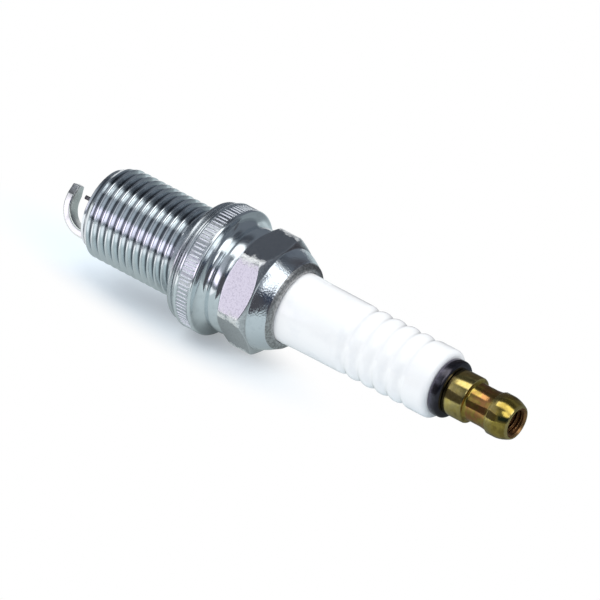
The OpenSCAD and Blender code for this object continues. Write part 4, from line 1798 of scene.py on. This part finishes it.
@dataclass(frozen=True)
class Floor:
    """The white floor's material: white to the camera, with a faint shadow, and in reflections a duller glow
    with painted shade and light; for diffuse rays it glows as painted bounce light.
    """

    tone: Rgb = (0.77, 0.88, 0.96)
    white: Rgb = (1.0, 1.0, 1.0)
    # Reflections see the floor tinted cool near the plug: a painted reflection colour.
    cool: Rgb = (0.88, 1.0, 1.0)
    cool_along: Fade = Fade(-0.026, -0.020, 0.0, 1.0)
    # The fades below paint shade and light into the floor's glow in reflections: shadow under the plug and
    # where the flange touches, shade under the terminal and behind the plug, light out to the side and beyond
    # the tip.
    front: Fade = Fade(-0.026, -0.020, 1.1, 0.56)
    back: Fade = Fade(0.036, 0.046, 1.0, 0.4)
    under: Fade = Fade(0.004, 0.016, 0.78, 1.0)
    open_aside: Fade = Fade(0.022, 0.045, 0.0, 1.0)
    open_along: Fade = Fade(0.0, 0.015, 0.0, 1.0)
    open_gain: float = 0.35
    far_side: Fade = Fade(0.02, 0.08, 1.0, 0.75)
    distance: Fade = Fade(0.36, 0.44, 1.0, 0.1)
    contact: Fade = Fade(0.002, 0.008, 0.3, 1.0)
    behind_across: Fade = Fade(0.004, 0.012, 1.0, 0.25)
    behind_along: Fade = Fade(0.010, 0.020, 1.0, 0.0)
    # The floor also glows for diffuse rays: painted bounce light on the plug's sides.
    bounce_glow: float = 1.35
    shadow_middle: Triple = (-0.009, 0.0, 0.0)
    shadow_length: Triple = (28.0, 0.0, 0.0)
    shadow_width: Triple = (33.0, 133.0, 0.0)
    shadow: Fade = Fade(0.35, 1.15, 0.28, 1.0)
    glossy_share: float = 0.85
    diffuse_share: Fade = Fade(0.004, 0.012, 0.1, 0.8)

    def sheen(self, graph: Graph, spot: Socket, touch: Vector) -> Socket:
        """Makes the floor's brightness in reflections, a glow with painted shadow under the plug and where
        the flange touches, painted shade under the terminal and behind the plug, and painted light out to the
        side and beyond the tip.

        Args:
            graph: the material's graph.
            spot: the place on the floor.
            touch: where the plug's flange touches it.

        Returns:
            The brightness.
        """
        along, across, _ = graph.split(spot)
        aside = graph.math("ABSOLUTE", across)
        open_side = graph.times(self.open_aside.at(graph, aside), self.open_along.at(graph, along))
        return graph.times(
            self.front.at(graph, along),
            self.back.at(graph, along),
            self.under.at(graph, aside),
            graph.math("MULTIPLY_ADD", open_side, self.open_gain, 1.0),
            self.far_side.at(graph, across),
            self.distance.at(graph, graph.vector("LENGTH", "Value", spot)),
            self.contact.at(graph, graph.vector("DISTANCE", "Value", spot, tuple(touch))),
            graph.math("MAXIMUM", self.behind_across.at(graph, across), self.behind_along.at(graph, along)),
        )

    def share(self, graph: Graph, rays: Node, spot: Socket) -> Socket:
        """Makes the part of the floor's light that is its own glow, and so hides the shadow.

        Args:
            graph: the material's graph.
            rays: its light path node.
            spot: the place on the floor.

        Returns:
            The share, from 0 to 1.
        """
        off = graph.vector("SUBTRACT", "Vector", spot, self.shadow_middle)
        length = graph.vector("DOT_PRODUCT", "Value", off, self.shadow_length)
        width = graph.vector("DOT_PRODUCT", "Value", off, self.shadow_width)
        past = graph.math("SQRT", graph.math("MULTIPLY_ADD", length, length, graph.math("POWER", width, 2.0)))
        aside = graph.math("ABSOLUTE", graph.split(spot)[1])
        share = graph.times(rays.outputs["Is Camera Ray"], self.shadow.at(graph, past))
        share = graph.math("MULTIPLY_ADD", rays.outputs["Is Glossy Ray"], self.glossy_share, share)
        lit = self.diffuse_share.at(graph, aside)
        return graph.math("MULTIPLY_ADD", rays.outputs["Is Diffuse Ray"], lit, share)

    def material(self, touch: Vector) -> bpy.types.Material:
        """Makes the floor's material, which can't be seen from below.

        Args:
            touch: where the plug's flange touches the floor.

        Returns:
            The material.
        """
        made = bpy.data.materials.new("floor_white")
        graph = Graph.blank(made)
        rays = graph.add("ShaderNodeLightPath")
        geometry = graph.add("ShaderNodeNewGeometry")
        spot = geometry.outputs["Position"]
        glossy = rays.outputs["Is Glossy Ray"]
        # Painted bounce light: the floor's glow for diffuse rays.
        bounce_glowing = graph.times(rays.outputs["Is Diffuse Ray"], self.bounce_glow)
        seen = graph.math("ADD", rays.outputs["Is Camera Ray"], bounce_glowing)
        strength = graph.math("ADD", seen, graph.times(glossy, self.sheen(graph, spot, touch)))
        # Painted reflection tint: near the plug the floor's glow turns cool for glossy rays.
        cool = graph.times(glossy, self.cool_along.at(graph, graph.split(spot)[0]))
        glow = graph.fed("ShaderNodeEmission", (graph.blend(cool, self.white, self.cool), strength))
        sheet = graph.fed("ShaderNodeBsdfDiffuse", [self.tone])
        share = self.share(graph, rays, spot)
        mixed = graph.fed("ShaderNodeMixShader", (share, sheet.outputs[0], glow.outputs[0]))
        clear = graph.add("ShaderNodeBsdfTransparent")
        below = (geometry.outputs["Backfacing"], mixed.outputs[0], clear.outputs[0])
        graph.surface(graph.fed("ShaderNodeMixShader", below))
        return made


@dataclass
class Studio:
    """Floor, tent, cards, lamps and camera, all set square to the floor that the plug lies on."""

    rest_front: Point = (4.3, 9.6)
    rest_back: Point = (41.4, 5.2)
    floor_gap: float = 0.03
    azimuth: float = math.radians(37.33)
    elevation: float = math.radians(31.33)
    distance: float = 1500.0
    lens: float = 641.9
    sensor: float = 36.0
    clip: Point = (0.1, 10.0)
    aim_right: float = 11.96
    aim_up: float = -4.95
    floor: Floor = Floor()
    floor_half: float = 1.4
    tent_radius: float = 0.9
    tent_sides: int = 48
    tent_rings: int = 32
    tent_base: Rgb = (0.145, 0.165, 0.193)
    panels: tuple[Panel, ...] = (
        Panel((-0.55, -0.62, 0.56), (0.75, -0.66, 0.0), 0.55, 0.5, 0.3, (0.43, 0.465, 0.515)),
        Panel((-0.453, -0.825, 0.34), (0.87, -0.49, 0.0), 0.40, 0.20, 0.06, (1.40, 1.31, 1.54)),
        Panel((0.41, -0.84, 0.33), (0.9, 0.43, 0.0), 0.40, 0.22, 0.10, (0.015, 0.03, 0.07)),
        Panel((0.47, -0.51, 0.72), (0.7, 0.7, 0.0), 0.22, 0.20, 0.08, (1.50, 1.56, 1.62)),
        Panel((-0.30, 0.46, 0.83), (1.0, 0.0, 0.0), 0.90, 0.22, 0.16, (0.065, 0.073, 0.088)),
        Panel((0.26, -0.06, 0.96), (1.0, 0.0, 0.0), 0.92, 0.27, 0.09, (1.62, 1.68, 1.70)),
    )
    flags: tuple[Flag, ...] = (
        Flag("dark_flag", (-0.42, -0.86, 0.2), (0.9, -0.44, 0.0), 0.05, 0.022, -0.02, 0.018),
        Flag("back_flag", (-0.55, 0.75, 0.3), (0.8, 0.59, 0.0), 0.03, 0.02, -0.016, 0.024),
    )
    flag_middle: Triple = (0.049, 0.0, 0.0)
    flag_weave: float = 400.0
    flag_tones: tuple[Rgb, Rgb] = ((0.05, 0.05, 0.06), (0.11, 0.11, 0.12))
    sky_fill: Rgb = (0.42, 0.485, 0.57)
    sky_seen: Rgb = (1.0, 1.0, 1.0)
    lamps: tuple[Lamp, ...] = (
        Lamp("front_lamp", (-0.2, -0.36, 0.91), 0.8, 0.45, 3.6),
        Lamp("back_lamp", (0.55, 0.5, 0.70), 0.8, 0.35, 2.7),
    )
    lamp_middle: Triple = (0.012, 0.0, 0.0)
    lamp_tone: Rgb = (1.0, 0.955, 0.9)

    def __post_init__(self) -> None:
        """Works out the floor's directions from the two places where the plug touches it."""
        run = self.rest_back[0] - self.rest_front[0]
        tilt = math.atan2(self.rest_front[1] - self.rest_back[1], run)
        self.along = Vector((math.cos(tilt), 0.0, math.sin(tilt)))
        self.across = Vector((0.0, 1.0, 0.0))
        self.up = Vector((-math.sin(tilt), 0.0, math.cos(tilt)))
        self.touch = Vector((self.rest_front[0], 0.0, -self.rest_front[1] - self.floor_gap)) * MM

    def direction(self, x: float, y: float, z: float) -> Vector:
        """Returns a direction given along, across and up from the floor."""
        return self.along * x + self.across * y + self.up * z

    @staticmethod
    def sheet(name: str, middle: Vector, side: Vector, lift: Vector, low: float, high: float) -> Piece:
        """Makes a flat four-sided sheet.

        Args:
            name: its name.
            middle: the point that the rest is counted from, in m.
            side: from there to the edge on one side.
            lift: the direction in which it stands up or lies back.
            low: where its first edge is in that direction, in m.
            high: where its last edge is.

        Returns:
            The sheet.
        """
        corners = ((-1.0, low), (1.0, low), (1.0, high), (-1.0, high))
        mesh = bpy.data.meshes.new(name)
        mesh.from_pydata([tuple(middle + side * a + lift * b) for a, b in corners], [], [(0, 1, 2, 3)])
        return place_object(name, mesh)

    @staticmethod
    def show_in_reflections(piece: Piece, material: bpy.types.Material) -> None:
        """Dresses a piece of the studio that only reflections see.

        Args:
            piece: the piece.
            material: its material.
        """
        piece.data.materials.append(material)
        piece.visible_camera = False
        piece.visible_diffuse = False
        piece.visible_shadow = False
        piece.visible_transmission = False

    def build_camera(self) -> None:
        """Sets the camera to the photo's view."""
        az, el = self.azimuth, self.elevation
        right = self.direction(math.cos(az), math.sin(az), 0.0)
        back = self.direction(math.sin(az) * math.cos(el), -math.cos(az) * math.cos(el), math.sin(el))
        up = back.cross(right)
        aim = Vector((span("crush_gasket")[1], 0.0, 0.0))
        place = (aim + right * self.aim_right + up * self.aim_up + back * self.distance) * MM
        camera = place_object("camera", bpy.data.cameras.new("camera"))
        camera.data.lens = self.lens
        camera.data.sensor_width = self.sensor
        camera.data.clip_start, camera.data.clip_end = self.clip
        camera.matrix_world = Matrix.Translation(place) @ Matrix((right, up, back)).transposed().to_4x4()
        bpy.context.scene.camera = camera

    def build_floor(self) -> None:
        """Lays the white floor."""
        half = self.floor_half
        floor = self.sheet("floor", self.touch, self.along * half, self.across, -half, half)
        floor.data.materials.append(self.floor.material(self.touch))

    def build_tent(self) -> None:
        """Hangs the tent that only reflections see, painted with the panels."""
        mesh = bpy.data.meshes.new("studio_tent")
        work = bmesh.new()
        bmesh.ops.create_uvsphere(
            work, u_segments=self.tent_sides, v_segments=self.tent_rings, radius=self.tent_radius
        )
        work.to_mesh(mesh)
        work.free()
        tent = place_object("studio_tent", mesh)
        tent.matrix_world = Matrix((self.along, self.across, self.up)).transposed().to_4x4()
        material = bpy.data.materials.new("tent_panels")
        material.cycles.emission_sampling = "NONE"
        graph = Graph.blank(material)
        colour: object = self.tent_base
        for panel in self.panels:
            toward = Vector(panel.toward).normalized()
            across = Vector(panel.across)
            across = (across - toward * across.dot(toward)).normalized()
            mask = graph.use(
                EFFECTS.softbox,
                Toward=tuple(toward),
                Across=tuple(across),
                Half_width=panel.half_width,
                Half_height=panel.half_height,
                Feather=panel.feather,
            ).outputs[0]
            colour = graph.blend(mask, colour, panel.light)
        graph.surface(graph.fed("ShaderNodeEmission", [colour]))
        self.show_in_reflections(tent, material)

    def build_flags(self) -> None:
        """Stands the dark cards beside the terminal, seen only in reflections, to keep the brass deep."""
        material = bpy.data.materials.new("flag_cloth")
        graph = Graph.blank(material)
        weave = graph.noise(graph.add("ShaderNodeNewGeometry").outputs["Position"], self.flag_weave)
        graph.surface(graph.fed("ShaderNodeEmission", [graph.blend(weave, *self.flag_tones)]))
        for card in self.flags:
            toward = self.direction(*Vector(card.toward).normalized())
            side = self.direction(*card.sideways)
            lift = toward.cross(side).normalized()
            middle = Vector(self.flag_middle) + toward * card.away
            flag = self.sheet(card.name, middle, side * card.half_width, lift, card.low, card.high)
            self.show_in_reflections(flag, material)

    def build_world(self) -> None:
        """Sets a white sky for the camera and a soft cool fill for the rest."""
        world = bpy.data.worlds.new("studio_sky")
        bpy.context.scene.world = world
        graph = Graph.blank(world)
        rays = graph.add("ShaderNodeLightPath")
        seen = graph.math("MAXIMUM", rays.outputs["Is Camera Ray"], rays.outputs["Is Glossy Ray"])
        seen = graph.math("MAXIMUM", seen, rays.outputs["Is Transmission Ray"])
        sky = graph.fed("ShaderNodeBackground", [graph.blend(seen, self.sky_fill, self.sky_seen)])
        graph.surface(sky, "ShaderNodeOutputWorld")

    def build_lamps(self) -> None:
        """Hangs the lamps, which reflections don't see."""
        for lamp in self.lamps:
            data = bpy.data.lights.new(lamp.name, "AREA")
            data.energy = lamp.watts
            data.color = self.lamp_tone
            data.shape = "SQUARE"
            data.size = lamp.side
            hung = place_object(lamp.name, data)
            way = self.direction(*Vector(lamp.toward).normalized())
            facing = way.to_track_quat("Z", "Y").to_matrix().to_4x4()
            hung.matrix_world = Matrix.Translation(Vector(self.lamp_middle) + way * lamp.away) @ facing
            hung.visible_glossy = False

    def build(self) -> None:
        """Builds the whole studio."""
        self.build_camera()
        self.build_floor()
        self.build_tent()
        self.build_flags()
        self.build_world()
        self.build_lamps()


def main() -> None:
    """Builds every sub-assembly and the studio."""
    logging.basicConfig(level=logging.INFO, format="%(name)s: %(message)s")
    for part in (Shell(), Gasket(), Insulator(), Terminal(), GroundElectrode(), InnerColumn(), Studio()):
        part.build()
    bpy.context.scene.view_settings.view_transform = "Standard"


if __name__ == "__main__":
    main()
